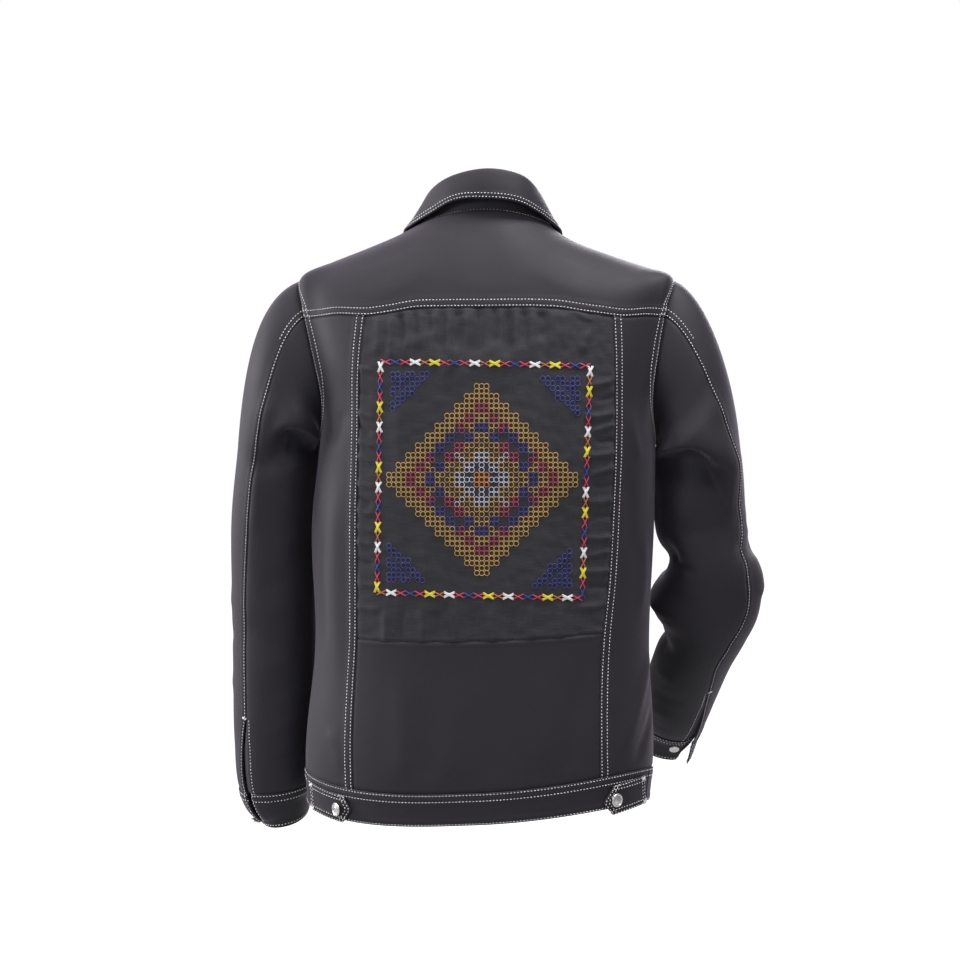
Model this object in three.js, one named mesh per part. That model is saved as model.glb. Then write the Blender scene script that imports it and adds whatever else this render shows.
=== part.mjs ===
// A worn trucker jacket: body, yoke, turned-down collar, two-piece sleeves with open cuffs,
// waistband with side tabs, and tack buttons. Millimetres, +Z up. The wearer faces -Y and +X is the
// wearer's left. The origin is the centre of the neck opening, level with the neck seam at the back.
import * as THREE from 'three';

const LEFT = 1;
const RIGHT = -1;

// ---------------------------------------------------------------- driving sizes
const CLOTH = 2.0; // wall of the body cloth
const BAND = 3.0; // wall of the doubled bands: waistband, cuffs and tabs
const COLLAR_WALL = 2.6; // wall of the doubled collar
const SEAM = 0.3; // room left between two pieces at a seam
const LAY = 0.6; // room left between a panel and a piece lying on it
const HEM = -686.5; // level of the hem
const WAIST = -651; // level of the seam between body and waistband
const PANEL_SEAM = -484; // level of the seam across the back, under the woven panel
const BAND_SEAM = 75; // angle of the waistband's side seams, where the tabs start
const SIDE_SEAM = 94.5; // angle of the body's side seams under the armhole
const SHOULDER = 360; // armhole angle where the shoulder seam starts
const SHOULDER_NECK = 103; // angle where the shoulder seam meets the neck
const BACK_SEAM = 57; // armhole angle where the yoke seam and the sleeve's back seam meet
const FRONT_SEAM = 247.5; // sleeve angle of the front seam
const CAP = 0.25; // share of the sleeve's run taken by its cap
const CAP_PUFF = { [LEFT]: 0.85, [RIGHT]: 0.6 }; // how roundly the cap's top leaves the shoulder
const CUFF = 0.922; // run at which the cuff starts
const CHEST_SQUARE = 2.1; // how square the rings are over the chest; rounder than the back
const PLACKET_HALF = 22; // half the width of the front placket
const COLLAR_RISE = 0.8; // how far the collar's seam stands above the neck seam
const YOKE_EASE = 30; // how far from the armhole, in degrees, the yoke seam bends to meet it
const FOLD_FADE = { top: 0.08, cuff: 0.06 }; // runs over which the sleeve's folds die out
const SLEEVE_SQUARE = 2.15; // how square the sleeve's sections are
const BUTTON = { radius: 8.5, height: 3.4, lift: 0.4, sides: 12 };

const UP = new THREE.Vector3(0, 0, 1);
const rad = THREE.MathUtils.degToRad;
const deg = THREE.MathUtils.radToDeg;

const table = (names, rows) => {
  const keys = names.split(' ');
  return rows.map((row) => Object.fromEntries(keys.map((key, i) => [key, row[i]])));
};

// Rings of the body, named by their level at the centre back. side and front: height at the sides and
// centre front; lean: how far the left side stands above that and the right side below it; middle:
// sideways shift; half: half width; back and breast: depth; square: how square the back is (2 is an
// ellipse); roll: how far the ring's left back hangs below its right back.
const TORSO = table('level side front lean middle half back breast square roll', [
  [-702, -687, -697, 0, 13.5, 196, 112, -118, 2.35, -7],
  [-688, -673, -683, 0, 13.5, 196, 112, -118, 2.35, -7],
  [-651, -634, -644, 0, 12.7, 199, 114, -120, 2.35, -7],
  [-500, -489, -497, 0, 9, 191.5, 112, -122, 2.4, -4],
  [-350, -342, -347, 0, 7.5, 196, 117, -126, 2.5, 0],
  [-280, -262, -275, 0, 2.5, 192, 120, -127, 2.7, 0],
  [-235, -213, -232, 0, 2, 190, 120, -126, 2.8, 0],
  [-190, -155, -188, 0, 4, 200, 118, -121, 2.8, 0],
  [-150, -108, -152, 0.5, 5, 208, 113, -112, 2.7, 0],
  [-115, -75, -125, 1, 3, 211, 107, -101, 2.5, 0],
  [-82, -59.5, -106, 4, 0, 179, 98, -92, 2.4, 0],
  [-52, -45.5, -92, 5, 0, 141, 86, -84, 2.3, 0],
  [-26, -30, -82, 4, 0, 104, 73, -77, 2.2, 0],
  [-8, -17, -76, 2, 0, 82, 63, -72, 2.1, 0],
  [0, -11.5, -73, 0.5, 0, 74, 58, -69, 2, 0],
]);

// Seam under the yoke, wearer's right to left.
const YOKE_SEAM = table('angle level', [
  [-80, -159], [-62, -151], [-40, -137], [-20, -121], [0, -116.5],
  [20, -125.5], [38, -139.5], [60, -152], [80, -161],
]);

// Sideways place of the long back seams, at each level.
const LONG_SEAM = table('level left right', [
  [-651, 149, -127], [-592, 150, -126.5], [-540, 148, -127], [-485, 145, -130],
  [-435, 144.5, -135], [-350, 144, -140], [-270, 142, -143], [-187, 140, -143], [-135, 135, -141],
]);

// Armholes: an oval in angle and level.
const ARMHOLE = {
  [LEFT]: { mid: 94.5, half: 19.5, level: -198, rise: 82 },
  [RIGHT]: { mid: 94.5, half: 17.5, level: -198, rise: 82 },
};

// Sleeve sections below the cap. run: 0 at the arm's root, 1 at the cuff's end; x y z: centre;
// wide: half width sideways; deep: half depth to front and back; seam: angle of the back seam.
const SLEEVE = {
  [LEFT]: table('run x y z wide deep seam', [
    [0, 244.5, -4, -272, 47, 60, 66.5],
    [0.182, 252.5, -22, -350, 49.3, 59, 64.4],
    [0.388, 253, -34, -440, 50.5, 56, 56.6],
    [0.592, 253, -40, -530, 50, 53, 55],
    [0.775, 255, -46, -610, 47.5, 50, 57],
    [0.885, 255.5, -52, -658, 43.5, 47, 58.5],
    [0.935, 253, -55, -680, 40, 45, 59.5],
    [1, 236, -57, -705, 27, 41, 60],
  ]),
  [RIGHT]: table('run x y z wide deep seam', [
    [0, -238, -6, -272, 48, 60, 46],
    [0.097, -240, -14, -311, 51, 59, 37],
    [0.196, -242, -24, -350, 53, 58, 35],
    [0.35, -257, -28, -412, 49.5, 55, 47],
    [0.442, -262, -42, -447, 50, 54, 56],
    [0.512, -255, -57, -472, 46.5, 52.5, 57],
    [0.619, -240, -81, -505, 45, 50, 52],
    [0.748, -226.5, -116, -544, 44, 48.5, 47],
    [0.881, -214.5, -153, -583, 42.5, 46, 50],
    [1, -203.5, -186, -615, 42, 42, 56],
  ]),
};
// Opening of the slit above the cuff and through it: its width at each run.
const SLIT = {
  [LEFT]: table('run open', [[0.77, 0], [0.85, 4], [0.93, 8], [1, 4]]),
  [RIGHT]: table('run open', [[0.775, 0], [0.85, 4], [0.93, 8], [1, 11]]),
};
const FLARE = { [LEFT]: 1, [RIGHT]: 10 }; // how far the upper corner of the open cuff turns out
const FLARE_ANGLE = 40; // part of the cuff's round that turns out

// Largest folds of the sleeves, from one run and angle to another. reach: how far the fold fades
// out; rise: height of the ridge, or depth of the trough where negative.
const FOLDS = {
  [LEFT]: table('run0 angle0 run1 angle1 reach rise', [
    [0.165, 84, 0.12, 135, 20, 4],
    [0.25, 84, 0.2, 118, 17, -6],
    [0.22, 120, 0.19, 160, 14, -4],
    [0.64, 120, 0.6, 75, 22, -2.5],
  ]),
  [RIGHT]: table('run0 angle0 run1 angle1 reach rise', [
    [0.16, 105, 0.18, 66, 20, 4],
    [0.29, 120, 0.29, 78, 18, -6],
    [0.452, 150, 0.462, 205, 15, -9],
    [0.575, 165, 0.59, 205, 29, 29],
    [0.7, 150, 0.71, 210, 12, -5],
    [0.478, 45, 0.475, 0, 12, -5],
    [0.535, 15, 0.525, -25, 20, 6],
  ]),
};

// Collar from the centre back (part 0) to the front end (part 1). neck: angle on the neck ring;
// x y z: top of the fold; angle level lift: the fall's edge on the body and how far it stands off.
const COLLAR = table('part neck x y z angle level lift', [
  [0, 0, 0, 63, 44, 0, -0.5, 17],
  [0.2, 30, 38, 54, 38, 24, -2.5, 16],
  [0.38, 56, 60, 35, 26, 46, -7, 11],
  [0.55, 82, 69, 10, 10, 70, -14, 7],
  [0.7, 112, 66, -28, -12, 98, -21, 6],
  [0.85, 143, 45, -62, -42, 128, -42, 6],
  [1, 174, 8, -77, -64, 165, -100, 6],
]);
const COLLAR_WIDTH = { [LEFT]: 1.05, [RIGHT]: 0.93 }; // how wide the collar stands on each side
const COLLAR_FALL = { [LEFT]: 1, [RIGHT]: 0.5 }; // how far down each shoulder it falls

// Side tabs: attached end, shoulders and tip, on the waistband.
const TABS = {
  [LEFT]: {
    start: 74.6, startLow: -686, startHigh: -660, end: 46, endLow: -685.5, endHigh: -656.5,
    tip: 41.5, tipLevel: -671.5,
  },
  [RIGHT]: {
    start: 74.6, startLow: -689, startHigh: -660, end: 47.6, endLow: -690, endHigh: -660,
    tip: 43, tipLevel: -677,
  },
};
const TAB_BUTTON = { [LEFT]: { angle: 48.4, level: -670.5 }, [RIGHT]: { angle: 49.6, level: -675.5 } };
const PLACKET_BUTTONS = [-30, -202, -317, -432, -547]; // levels
const WAIST_BUTTON = -669.5; // level

// ---------------------------------------------------------------- surfaces
// Smooth value of one column of a table, at x in the column named key.
function track(rows, key, column, x) {
  const up = rows[rows.length - 1][key] > rows[0][key];
  const order = up ? rows : [...rows].reverse();
  const at = Math.min(Math.max(x, order[0][key]), order[order.length - 1][key]);
  let i = 0;
  while (i < order.length - 2 && at > order[i + 1][key]) i += 1;
  const grade = (a, b) => (order[b][column] - order[a][column]) / (order[b][key] - order[a][key]);
  const slope = (k) => {
    if (k === 0) return grade(0, 1);
    if (k === order.length - 1) return grade(k - 1, k);
    const before = order[k][key] - order[k - 1][key];
    const after = order[k + 1][key] - order[k][key];
    return (grade(k - 1, k) * after + grade(k, k + 1) * before) / (before + after);
  };
  const span = order[i + 1][key] - order[i][key];
  const t = (at - order[i][key]) / span;
  return hermite(order[i][column], order[i + 1][column], slope(i) * span, slope(i + 1) * span, t);
}

function hermite(a, b, slopeA, slopeB, t) {
  const tt = t * t;
  const ttt = tt * t;
  return (2 * ttt - 3 * tt + 1) * a + (ttt - 2 * tt + t) * slopeA
    + (3 * tt - 2 * ttt) * b + (ttt - tt) * slopeB;
}

const power = (value, square) => Math.sign(value) * Math.abs(value) ** (2 / square);

// Point of the body at an angle (0 centre back, 90 wearer's left, 180 centre front) and a level.
function torso(angle, level, out = 0) {
  const get = (column) => track(TORSO, 'level', column, level);
  const sine = Math.sin(rad(angle));
  const cosine = Math.cos(rad(angle));
  const square = cosine > 0 ? get('square') : CHEST_SQUARE;
  const depth = cosine > 0 ? get('back') : -get('breast');
  const end = cosine > 0 ? level : get('front');
  const side = get('side');
  const point = new THREE.Vector3(
    get('middle') + get('half') * power(sine, square),
    depth * power(cosine, square),
    side + (end - side) * cosine * cosine + get('roll') * 2 * sine * cosine + get('lean') * sine,
  );
  return out ? point.addScaledVector(torsoNormal(angle, level), out) : point;
}

function torsoNormal(angle, level) {
  const around = torso(angle + 0.5, level).sub(torso(angle - 0.5, level));
  const rise = torso(angle, Math.min(level + 1, 0)).sub(torso(angle, Math.max(level - 1, -702)));
  return rise.cross(around).normalize();
}

// Angle at which the ring of a level stands x to the side, on the back or the front.
function angleOf(x, level, front = false) {
  const middle = track(TORSO, 'level', 'middle', level);
  const half = track(TORSO, 'level', 'half', level);
  const square = front ? CHEST_SQUARE : track(TORSO, 'level', 'square', level);
  const share = (x - middle) / half;
  const angle = deg(Math.asin(Math.sign(share) * Math.abs(share) ** (square / 2)));
  return front ? 180 - angle : angle;
}

// Place of the armhole on the body, as [angle, level]; turn 0 is its top, 90 its back.
function armhole(side, turn) {
  const oval = ARMHOLE[side];
  return [
    side * (oval.mid - oval.half * Math.sin(rad(turn))),
    oval.level + oval.rise * Math.cos(rad(turn)),
  ];
}

function sleeveFrame(side, run) {
  const rows = SLEEVE[side];
  const centre = (at) => new THREE.Vector3(...['x', 'y', 'z'].map((axis) => track(rows, 'run', axis, at)));
  const along = centre(Math.min(run + 0.01, 1)).sub(centre(Math.max(run - 0.01, 0))).normalize();
  const back = new THREE.Vector3(0, 1, 0);
  back.addScaledVector(along, -back.dot(along)).normalize();
  const outer = along.clone().cross(back);
  if (outer.x * side < 0) outer.negate();
  return { centre: centre(run), along, back, outer };
}

function tube(side, run, turn) {
  const { centre, back, outer } = sleeveFrame(side, run);
  const wide = track(SLEEVE[side], 'run', 'wide', run);
  const deep = track(SLEEVE[side], 'run', 'deep', run);
  return centre
    .addScaledVector(outer, wide * power(Math.cos(rad(turn)), SLEEVE_SQUARE))
    .addScaledVector(back, deep * power(Math.sin(rad(turn)), SLEEVE_SQUARE));
}

// Sleeve cap: leaves the armhole outwards and bends down into the arm.
function cap(side, share, turn) {
  const start = torso(...armhole(side, turn));
  const end = tube(side, 0, turn);
  const reach = start.distanceTo(end);
  const top = (1 + Math.cos(rad(turn))) / 2;
  const leave = new THREE.Vector3(0.95 * side, 0.35 * Math.sin(rad(turn)), -0.3).normalize();
  leave.multiplyScalar(reach * (0.9 + (CAP_PUFF[side] - 0.9) * top));
  const arrive = sleeveFrame(side, 0).along.multiplyScalar(reach * 1.1);
  const axis = (name) => hermite(start[name], end[name], leave[name], arrive[name], share);
  return new THREE.Vector3(axis('x'), axis('y'), axis('z'));
}

function smoothSleeve(side, run, turn) {
  return run < CAP ? cap(side, run / CAP, turn) : tube(side, (run - CAP) / (1 - CAP), turn);
}

function normalOf(surface, run, turn) {
  const around = surface(run, turn + 1).sub(surface(run, turn - 1));
  const along = surface(Math.min(run + 0.004, 1), turn).sub(surface(Math.max(run - 0.004, 0), turn));
  return around.cross(along).normalize();
}

const foldLines = (side) => FOLDS[side].map((fold) => {
  const from = smoothSleeve(side, fold.run0, fold.angle0);
  const to = smoothSleeve(side, fold.run1, fold.angle1);
  return { line: new THREE.Line3(from, to), reach: fold.reach, rise: fold.rise };
});
const FOLD_LINES = { [LEFT]: foldLines(LEFT), [RIGHT]: foldLines(RIGHT) };

function sleeveNormal(side, run, turn) {
  const normal = normalOf((a, b) => smoothSleeve(side, a, b), run, turn);
  return normal.multiplyScalar(-side);
}

// Finished sleeve: the smooth form with its folds, which fade out at the armhole and the cuff.
function sleeve(side, run, turn, out = 0) {
  const point = smoothSleeve(side, run, turn);
  const fade = Math.min(1, run / FOLD_FADE.top, Math.max(0, (CUFF - run) / FOLD_FADE.cuff));
  const height = FOLD_LINES[side].reduce((sum, { line, reach, rise }) => {
    const distance = line.closestPointToPoint(point, true, new THREE.Vector3()).distanceTo(point);
    return sum + rise * Math.exp(-((distance / reach) ** 2));
  }, 0);
  return point.addScaledVector(sleeveNormal(side, run, turn), out + height * fade);
}

// Direction in which the wall stands at a point of the body. On the armhole it is the mitre with the
// sleeve, so that both walls end on one plane.
function bodyNormal(angle, level) {
  const side = angle < 0 ? RIGHT : LEFT;
  const oval = ARMHOLE[side];
  const across = (oval.mid - Math.abs(angle)) / oval.half;
  const up = (level - oval.level) / oval.rise;
  const normal = torsoNormal(angle, level);
  if (Math.abs(Math.hypot(across, up) - 1) > 1e-6) return normal;
  return normal.add(sleeveNormal(side, 0.004, deg(Math.atan2(across, up)))).normalize();
}

// ---------------------------------------------------------------- walls
// Moves the edges of a grid of points inwards, each along its own surface.
function trim(points, sides, amount) {
  const rows = points.length - 1;
  const columns = points[0].length - 1;
  const source = points.map((row) => row.map((point) => point.clone()));
  const pull = (row, column, toRow, toColumn) => {
    const step = source[toRow][toColumn].clone().sub(source[row][column]);
    points[row][column].addScaledVector(step.normalize(), amount);
  };
  for (let i = 0; i <= rows; i += 1) {
    if (sides.includes('start')) pull(i, 0, i, 1);
    if (sides.includes('end')) pull(i, columns, i, columns - 1);
  }
  for (let j = 0; j <= columns; j += 1) {
    if (sides.includes('low')) pull(0, j, 1, j);
    if (sides.includes('high')) pull(rows, j, rows - 1, j);
  }
}

// Closed solid between a grid of outer points and the same grid moved inwards by the wall's thickness.
function wallGeometry(points, normals, thick) {
  const rows = points.length;
  const columns = points[0].length;
  const outer = points.flat();
  const flatNormals = normals.flat();
  const inner = outer.map((point, i) => point.clone().addScaledVector(flatNormals[i], -thick));
  const corners = [...outer, ...inner];
  const at = (row, column) => row * columns + column;
  const under = outer.length;
  const faces = [];
  const quad = (a, b, c, d) => faces.push([a, b, c], [a, c, d]);
  for (let i = 0; i < rows - 1; i += 1) {
    for (let j = 0; j < columns - 1; j += 1) {
      const [a, b, c, d] = [at(i, j), at(i, j + 1), at(i + 1, j + 1), at(i + 1, j)];
      quad(a, b, c, d);
      quad(a + under, d + under, c + under, b + under);
    }
  }
  const rim = [];
  for (let j = 0; j < columns; j += 1) rim.push(at(0, j));
  for (let i = 1; i < rows; i += 1) rim.push(at(i, columns - 1));
  for (let j = columns - 2; j >= 0; j -= 1) rim.push(at(rows - 1, j));
  for (let i = rows - 2; i > 0; i -= 1) rim.push(at(i, 0));
  // Two pieces that share a seam split its rim along the same, shorter diagonal.
  rim.forEach((a, k) => {
    const b = rim[(k + 1) % rim.length];
    const falling = corners[a].distanceTo(corners[b + under]);
    const rising = corners[b].distanceTo(corners[a + under]);
    if (falling < rising) quad(a, a + under, b + under, b);
    else quad(b, a, a + under, b + under);
  });
  const [p0, p1, p2] = faces[0].map((k) => corners[k]);
  const facing = p1.clone().sub(p0).cross(p2.clone().sub(p0)).dot(flatNormals[0]);
  const ordered = facing > 0 ? faces : faces.map(([p, q, r]) => [p, r, q]);
  const geometry = new THREE.BufferGeometry();
  const values = corners.flatMap((point) => point.toArray());
  geometry.setAttribute('position', new THREE.Float32BufferAttribute(values, 3));
  geometry.setIndex(ordered.flat());
  geometry.computeVertexNormals();
  return geometry;
}

const finish = (colour, roughness, metalness = 0) => (
  new THREE.MeshStandardMaterial({ color: colour, roughness, metalness })
);
const KNIT = finish(0x38363c, 0.72);
const WOVEN = finish(0x2c2b2d, 0.9);
const STEEL = finish(0xa9a6a8, 0.35, 1);

const jacket = new THREE.Group();
function add(name, geometry, material) {
  const mesh = new THREE.Mesh(geometry, material);
  mesh.name = name;
  jacket.add(mesh);
  return mesh;
}

function addWall(name, points, normals, thick, material, trimmed = 'start end low high') {
  trim(points, trimmed.split(' '), SEAM / 2);
  add(name, wallGeometry(points, normals, thick), material);
}

// Grid of [angle, level] filled in between four edges that share their corners. Its rows keep the
// pace at which the two upright edges climb.
function patch(low, high, start, end) {
  const columns = low.length - 1;
  const rows = start.length - 1;
  const climb = (edge, i) => (edge[i][1] - edge[0][1]) / (edge[rows][1] - edge[0][1]);
  return start.map((_, i) => low.map((__, j) => [0, 1].map((k) => {
    const u = j / columns;
    const v = (climb(start, i) + climb(end, i)) / 2;
    const sides = (1 - v) * low[j][k] + v * high[j][k] + (1 - u) * start[i][k] + u * end[i][k];
    const corners = (1 - v) * ((1 - u) * low[0][k] + u * low[columns][k])
      + v * ((1 - u) * high[0][k] + u * high[columns][k]);
    return sides - corners;
  })));
}

function addPanel(name, edges, material) {
  const grid = patch(...edges);
  const points = grid.map((row) => row.map(([angle, level]) => torso(angle, level)));
  const normals = grid.map((row) => row.map(([angle, level]) => bodyNormal(angle, level)));
  addWall(name, points, normals, CLOTH, material);
}

// Piece that lies on the body, out from its surface, over a grid of [angle, level].
function addOnBody(name, grid, thick, out) {
  const points = grid.map((row) => row.map(([angle, level]) => torso(angle, level, out(angle))));
  const normals = grid.map((row) => row.map(([angle, level]) => torsoNormal(angle, level)));
  addWall(name, points, normals, thick, KNIT);
}

const steps = (from, to, count) => (
  Array.from({ length: count + 1 }, (_, i) => from + ((to - from) * i) / count)
);
const join = (...lists) => lists.flatMap((list, i) => (i ? list.slice(1) : list));
const line = (from, to, count) => (
  steps(0, 1, count).map((t) => [0, 1].map((k) => from[k] + (to[k] - from[k]) * t))
);

// ---------------------------------------------------------------- body panels
const yokeLevel = (angle) => track(YOKE_SEAM, 'angle', 'level', angle);
const longSeam = (side, level) => (
  angleOf(track(LONG_SEAM, 'level', side === LEFT ? 'left' : 'right', level), level)
);
// Where a long seam meets the yoke seam.
function seamTop(side) {
  let angle = longSeam(side, -138);
  for (let i = 0; i < 8; i += 1) angle = longSeam(side, yokeLevel(angle));
  return angle;
}
// The yoke seam ends on the armhole, so it is drawn to that point near each end.
function yokeSeam(from, to, count) {
  return steps(from, to, count).map((angle) => {
    const [edge, level] = armhole(angle < 0 ? RIGHT : LEFT, BACK_SEAM);
    const near = Math.max(0, 1 - Math.abs(edge - angle) / YOKE_EASE) ** 2;
    return [angle, yokeLevel(angle) + near * (level - yokeLevel(edge))];
  });
}
const armEdge = (side, from, to, count) => steps(from, to, count).map((turn) => armhole(side, turn));

// Counts of points along the seams, the same in both pieces that meet there.
const SIDE_COLUMNS = 5;
const BACK_COLUMNS = 10;
const FRONT_COLUMNS = 8;
const YOKE_ROWS = 3; // along the armhole, from the back seam to the shoulder seam
const ARM_ROWS = 5; // from the underarm to the back seam
const CHEST_ROWS = 8; // from the underarm up the front to the shoulder seam
const SHOULDER_ROWS = 5;
const SIDE_ROWS = 9;
const LOWER_ROWS = 4;
const UPPER_ROWS = 10;
const seamAngle = { [LEFT]: seamTop(LEFT), [RIGHT]: seamTop(RIGHT) };
const armAngle = { [LEFT]: armhole(LEFT, BACK_SEAM)[0], [RIGHT]: armhole(RIGHT, BACK_SEAM)[0] };

const shoulderSeam = (side) => (
  line(armhole(side, SHOULDER), [side * SHOULDER_NECK, 0], SHOULDER_ROWS)
);

function addYoke() {
  const low = join(
    yokeSeam(armAngle[RIGHT], seamAngle[RIGHT], SIDE_COLUMNS),
    yokeSeam(seamAngle[RIGHT], seamAngle[LEFT], BACK_COLUMNS),
    yokeSeam(seamAngle[LEFT], armAngle[LEFT], SIDE_COLUMNS),
  );
  const high = line([-SHOULDER_NECK, 0], [SHOULDER_NECK, 0], low.length - 1);
  const edge = (side) => join(armEdge(side, BACK_SEAM, SHOULDER - 360, YOKE_ROWS), shoulderSeam(side));
  addPanel('back_yoke', [low, high, edge(RIGHT), edge(LEFT)], KNIT);
}

// A long seam from the waist up past the panel seam to the yoke.
function longEdge(side, upper, lower) {
  const top = yokeLevel(seamAngle[side]);
  const levels = join(steps(WAIST, PANEL_SEAM, lower), steps(PANEL_SEAM, top, upper));
  return levels.map((level) => [longSeam(side, level), level]);
}

function addBack() {
  const across = (level) => (
    line([longSeam(RIGHT, level), level], [longSeam(LEFT, level), level], BACK_COLUMNS)
  );
  const top = yokeSeam(seamAngle[RIGHT], seamAngle[LEFT], BACK_COLUMNS);
  const edges = [RIGHT, LEFT].map((side) => longEdge(side, UPPER_ROWS, LOWER_ROWS));
  const upper = edges.map((edge) => edge.slice(LOWER_ROWS));
  const lower = edges.map((edge) => edge.slice(0, LOWER_ROWS + 1));
  addPanel('back_centre_upper', [across(PANEL_SEAM), top, ...upper], WOVEN);
  addPanel('back_centre_lower', [across(WAIST), across(PANEL_SEAM), ...lower], KNIT);
}

function addSideBack(side, name) {
  const outer = join(
    line([side * SIDE_SEAM, WAIST], armhole(side, 180), SIDE_ROWS),
    armEdge(side, 180, BACK_SEAM, ARM_ROWS),
  );
  const inner = longEdge(side, UPPER_ROWS, LOWER_ROWS);
  const low = line(inner[0], outer[0], SIDE_COLUMNS);
  const high = yokeSeam(seamAngle[side], armAngle[side], SIDE_COLUMNS);
  addPanel(name, [low, high, inner, outer], KNIT);
}

function addFront(side, name) {
  const outer = join(
    line([side * SIDE_SEAM, WAIST], armhole(side, 180), SIDE_ROWS),
    armEdge(side, 180, SHOULDER, CHEST_ROWS),
    shoulderSeam(side),
  );
  const centre = outer.map(([, level]) => [side * 180, level]);
  const low = line(outer[0], centre[0], FRONT_COLUMNS);
  const high = line([side * SHOULDER_NECK, 0], [side * 180, 0], FRONT_COLUMNS);
  addPanel(name, [low, high, outer, centre], KNIT);
}

function addPlacket() {
  const levels = steps(WAIST + 1, -9, 18);
  const across = [-PLACKET_HALF, 0, PLACKET_HALF];
  const grid = levels.map((level) => across.map((x) => [angleOf(x, level, true), level]));
  addOnBody('front_placket', grid, CLOTH, () => LAY + CLOTH);
}

// ---------------------------------------------------------------- waistband and tabs
const BAND_OUT = 0.5; // the band stands this far outside the body cloth

function addWaistband() {
  const levels = steps(HEM, WAIST, 2);
  const make = (name, angles, out) => {
    addOnBody(name, levels.map((level) => angles.map((angle) => [angle, level])), BAND, out);
  };
  make('waistband_back', steps(-BAND_SEAM, BAND_SEAM, 18), () => BAND_OUT);
  make('waistband_front_right', steps(-180, -BAND_SEAM, 10), () => BAND_OUT);
  // The left end laps over the right one and carries the button.
  const lapEnd = angleOf(-PLACKET_HALF, WAIST, true);
  const lapStart = angleOf(PLACKET_HALF + 6, WAIST, true);
  const lap = (angle) => BAND_OUT + (BAND + LAY) * THREE.MathUtils.smoothstep(angle, lapStart - 6, lapStart);
  const angles = [...steps(BAND_SEAM, lapStart - 6, 8), lapStart - 3, lapStart, 180, lapEnd];
  make('waistband_front_left', angles, lap);
}

function addTab(side, name) {
  const tab = TABS[side];
  const along = (from, to) => line([side * from[0], from[1]], [side * to[0], to[1]], 5);
  const low = along([tab.start, tab.startLow], [tab.end, tab.endLow]);
  const high = along([tab.start, tab.startHigh], [tab.end, tab.endHigh]);
  const start = [low[0], [low[0][0], (tab.startLow + tab.startHigh) / 2], high[0]];
  const end = [low[5], [side * tab.tip, tab.tipLevel], high[5]];
  addOnBody(name, patch(low, high, start, end), BAND, () => BAND_OUT + LAY + BAND);
}

// ---------------------------------------------------------------- collar
function collarSection(part) {
  const side = part < 0 ? RIGHT : LEFT;
  const at = Math.abs(part);
  const get = (column) => track(COLLAR, 'part', column, at);
  const base = torso(side * get('neck'), 0).addScaledVector(UP, COLLAR_RISE);
  const overSide = Math.sin(Math.PI * Math.min(1, at / 0.9)) ** 2;
  const width = 1 + (COLLAR_WIDTH[side] - 1) * overSide;
  const fall = 1 + (COLLAR_FALL[side] - 1) * overSide;
  const fold = new THREE.Vector3(side * get('x') * width, get('y'), get('z'));
  const edge = torso(side * get('angle') * width, get('level') * fall, get('lift'));
  const outward = edge.clone().sub(fold).setZ(0).normalize();
  const turnIn = fold.clone().addScaledVector(outward, -3).addScaledVector(UP, -2);
  const turnOut = fold.clone().addScaledVector(outward, 3.4).addScaledVector(UP, -2.4);
  const between = (a, b, t, bulge) => a.clone().lerp(b, t).addScaledVector(outward, bulge);
  return [
    base,
    between(base, turnIn, 0.5, -0.6),
    turnIn,
    fold,
    turnOut,
    between(turnOut, edge, 0.35, 1.6),
    between(turnOut, edge, 0.7, 1.4),
    edge,
  ];
}

function addCollar() {
  const columns = steps(-1, 1, 28);
  const sections = columns.map(collarSection);
  const rows = sections[0].length;
  const middle = steps(0, rows - 1, rows - 1).map((i) => sections.map((section) => section[i]));
  // The wall's direction is square to the section's path and to the collar's run.
  const normals = middle.map((row, i) => row.map((point, j) => {
    const climb = middle[Math.min(i + 1, rows - 1)][j].clone().sub(middle[Math.max(i - 1, 0)][j]);
    const run = row[Math.min(j + 1, row.length - 1)].clone().sub(row[Math.max(j - 1, 0)]);
    return climb.cross(run).normalize();
  }));
  const points = middle.map((row, i) => row.map((point, j) => (
    point.clone().addScaledVector(normals[i][j], COLLAR_WALL / 2)
  )));
  add('collar', wallGeometry(points, normals, COLLAR_WALL), KNIT);
}

// ---------------------------------------------------------------- sleeves and cuffs
const YOKE_TURNS = steps(SHOULDER - 360, BACK_SEAM, YOKE_ROWS);
const BACK_TURNS = steps(BACK_SEAM, 180, ARM_ROWS);
const FRONT_TURNS = steps(180, SHOULDER, CHEST_ROWS);
const UNDER_TURNS = join(BACK_TURNS, FRONT_TURNS.slice(0, 4));
const UPPER_TURNS = join(FRONT_TURNS.slice(3).map((turn) => turn - 360), YOKE_TURNS);

function backSeam(side, run) {
  if (run >= CAP) return track(SLEEVE[side], 'run', 'seam', (run - CAP) / (1 - CAP));
  const low = SLEEVE[side][0].seam;
  return BACK_SEAM + (low - BACK_SEAM) * (run / CAP) + 9 * Math.sin((Math.PI * run) / CAP);
}
// Angle at which the upper sleeve ends: it leaves the back seam where the slit opens.
function upperEdge(side, run) {
  const radius = track(SLEEVE[side], 'run', 'deep', (run - CAP) / (1 - CAP));
  return backSeam(side, run) - deg(track(SLIT[side], 'run', 'open', run) / radius);
}
// How far the cuff's upper corner and the slit above it turn out.
function flare(side, run, turn) {
  const near = Math.max(0, 1 - (upperEdge(side, run) - turn) / FLARE_ANGLE);
  return FLARE[side] * near ** 2 * THREE.MathUtils.smoothstep(run, SLIT[side][0].run, 1);
}

const CAP_RUNS = [0, 0.03, 0.07, 0.115, 0.16, 0.205];
const RUNS = {
  [LEFT]: join(CAP_RUNS, steps(0.205, CUFF, 17)),
  [RIGHT]: join(CAP_RUNS, steps(0.205, 0.43, 5), steps(0.43, 0.73, 12), steps(0.73, CUFF, 4)),
};

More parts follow.
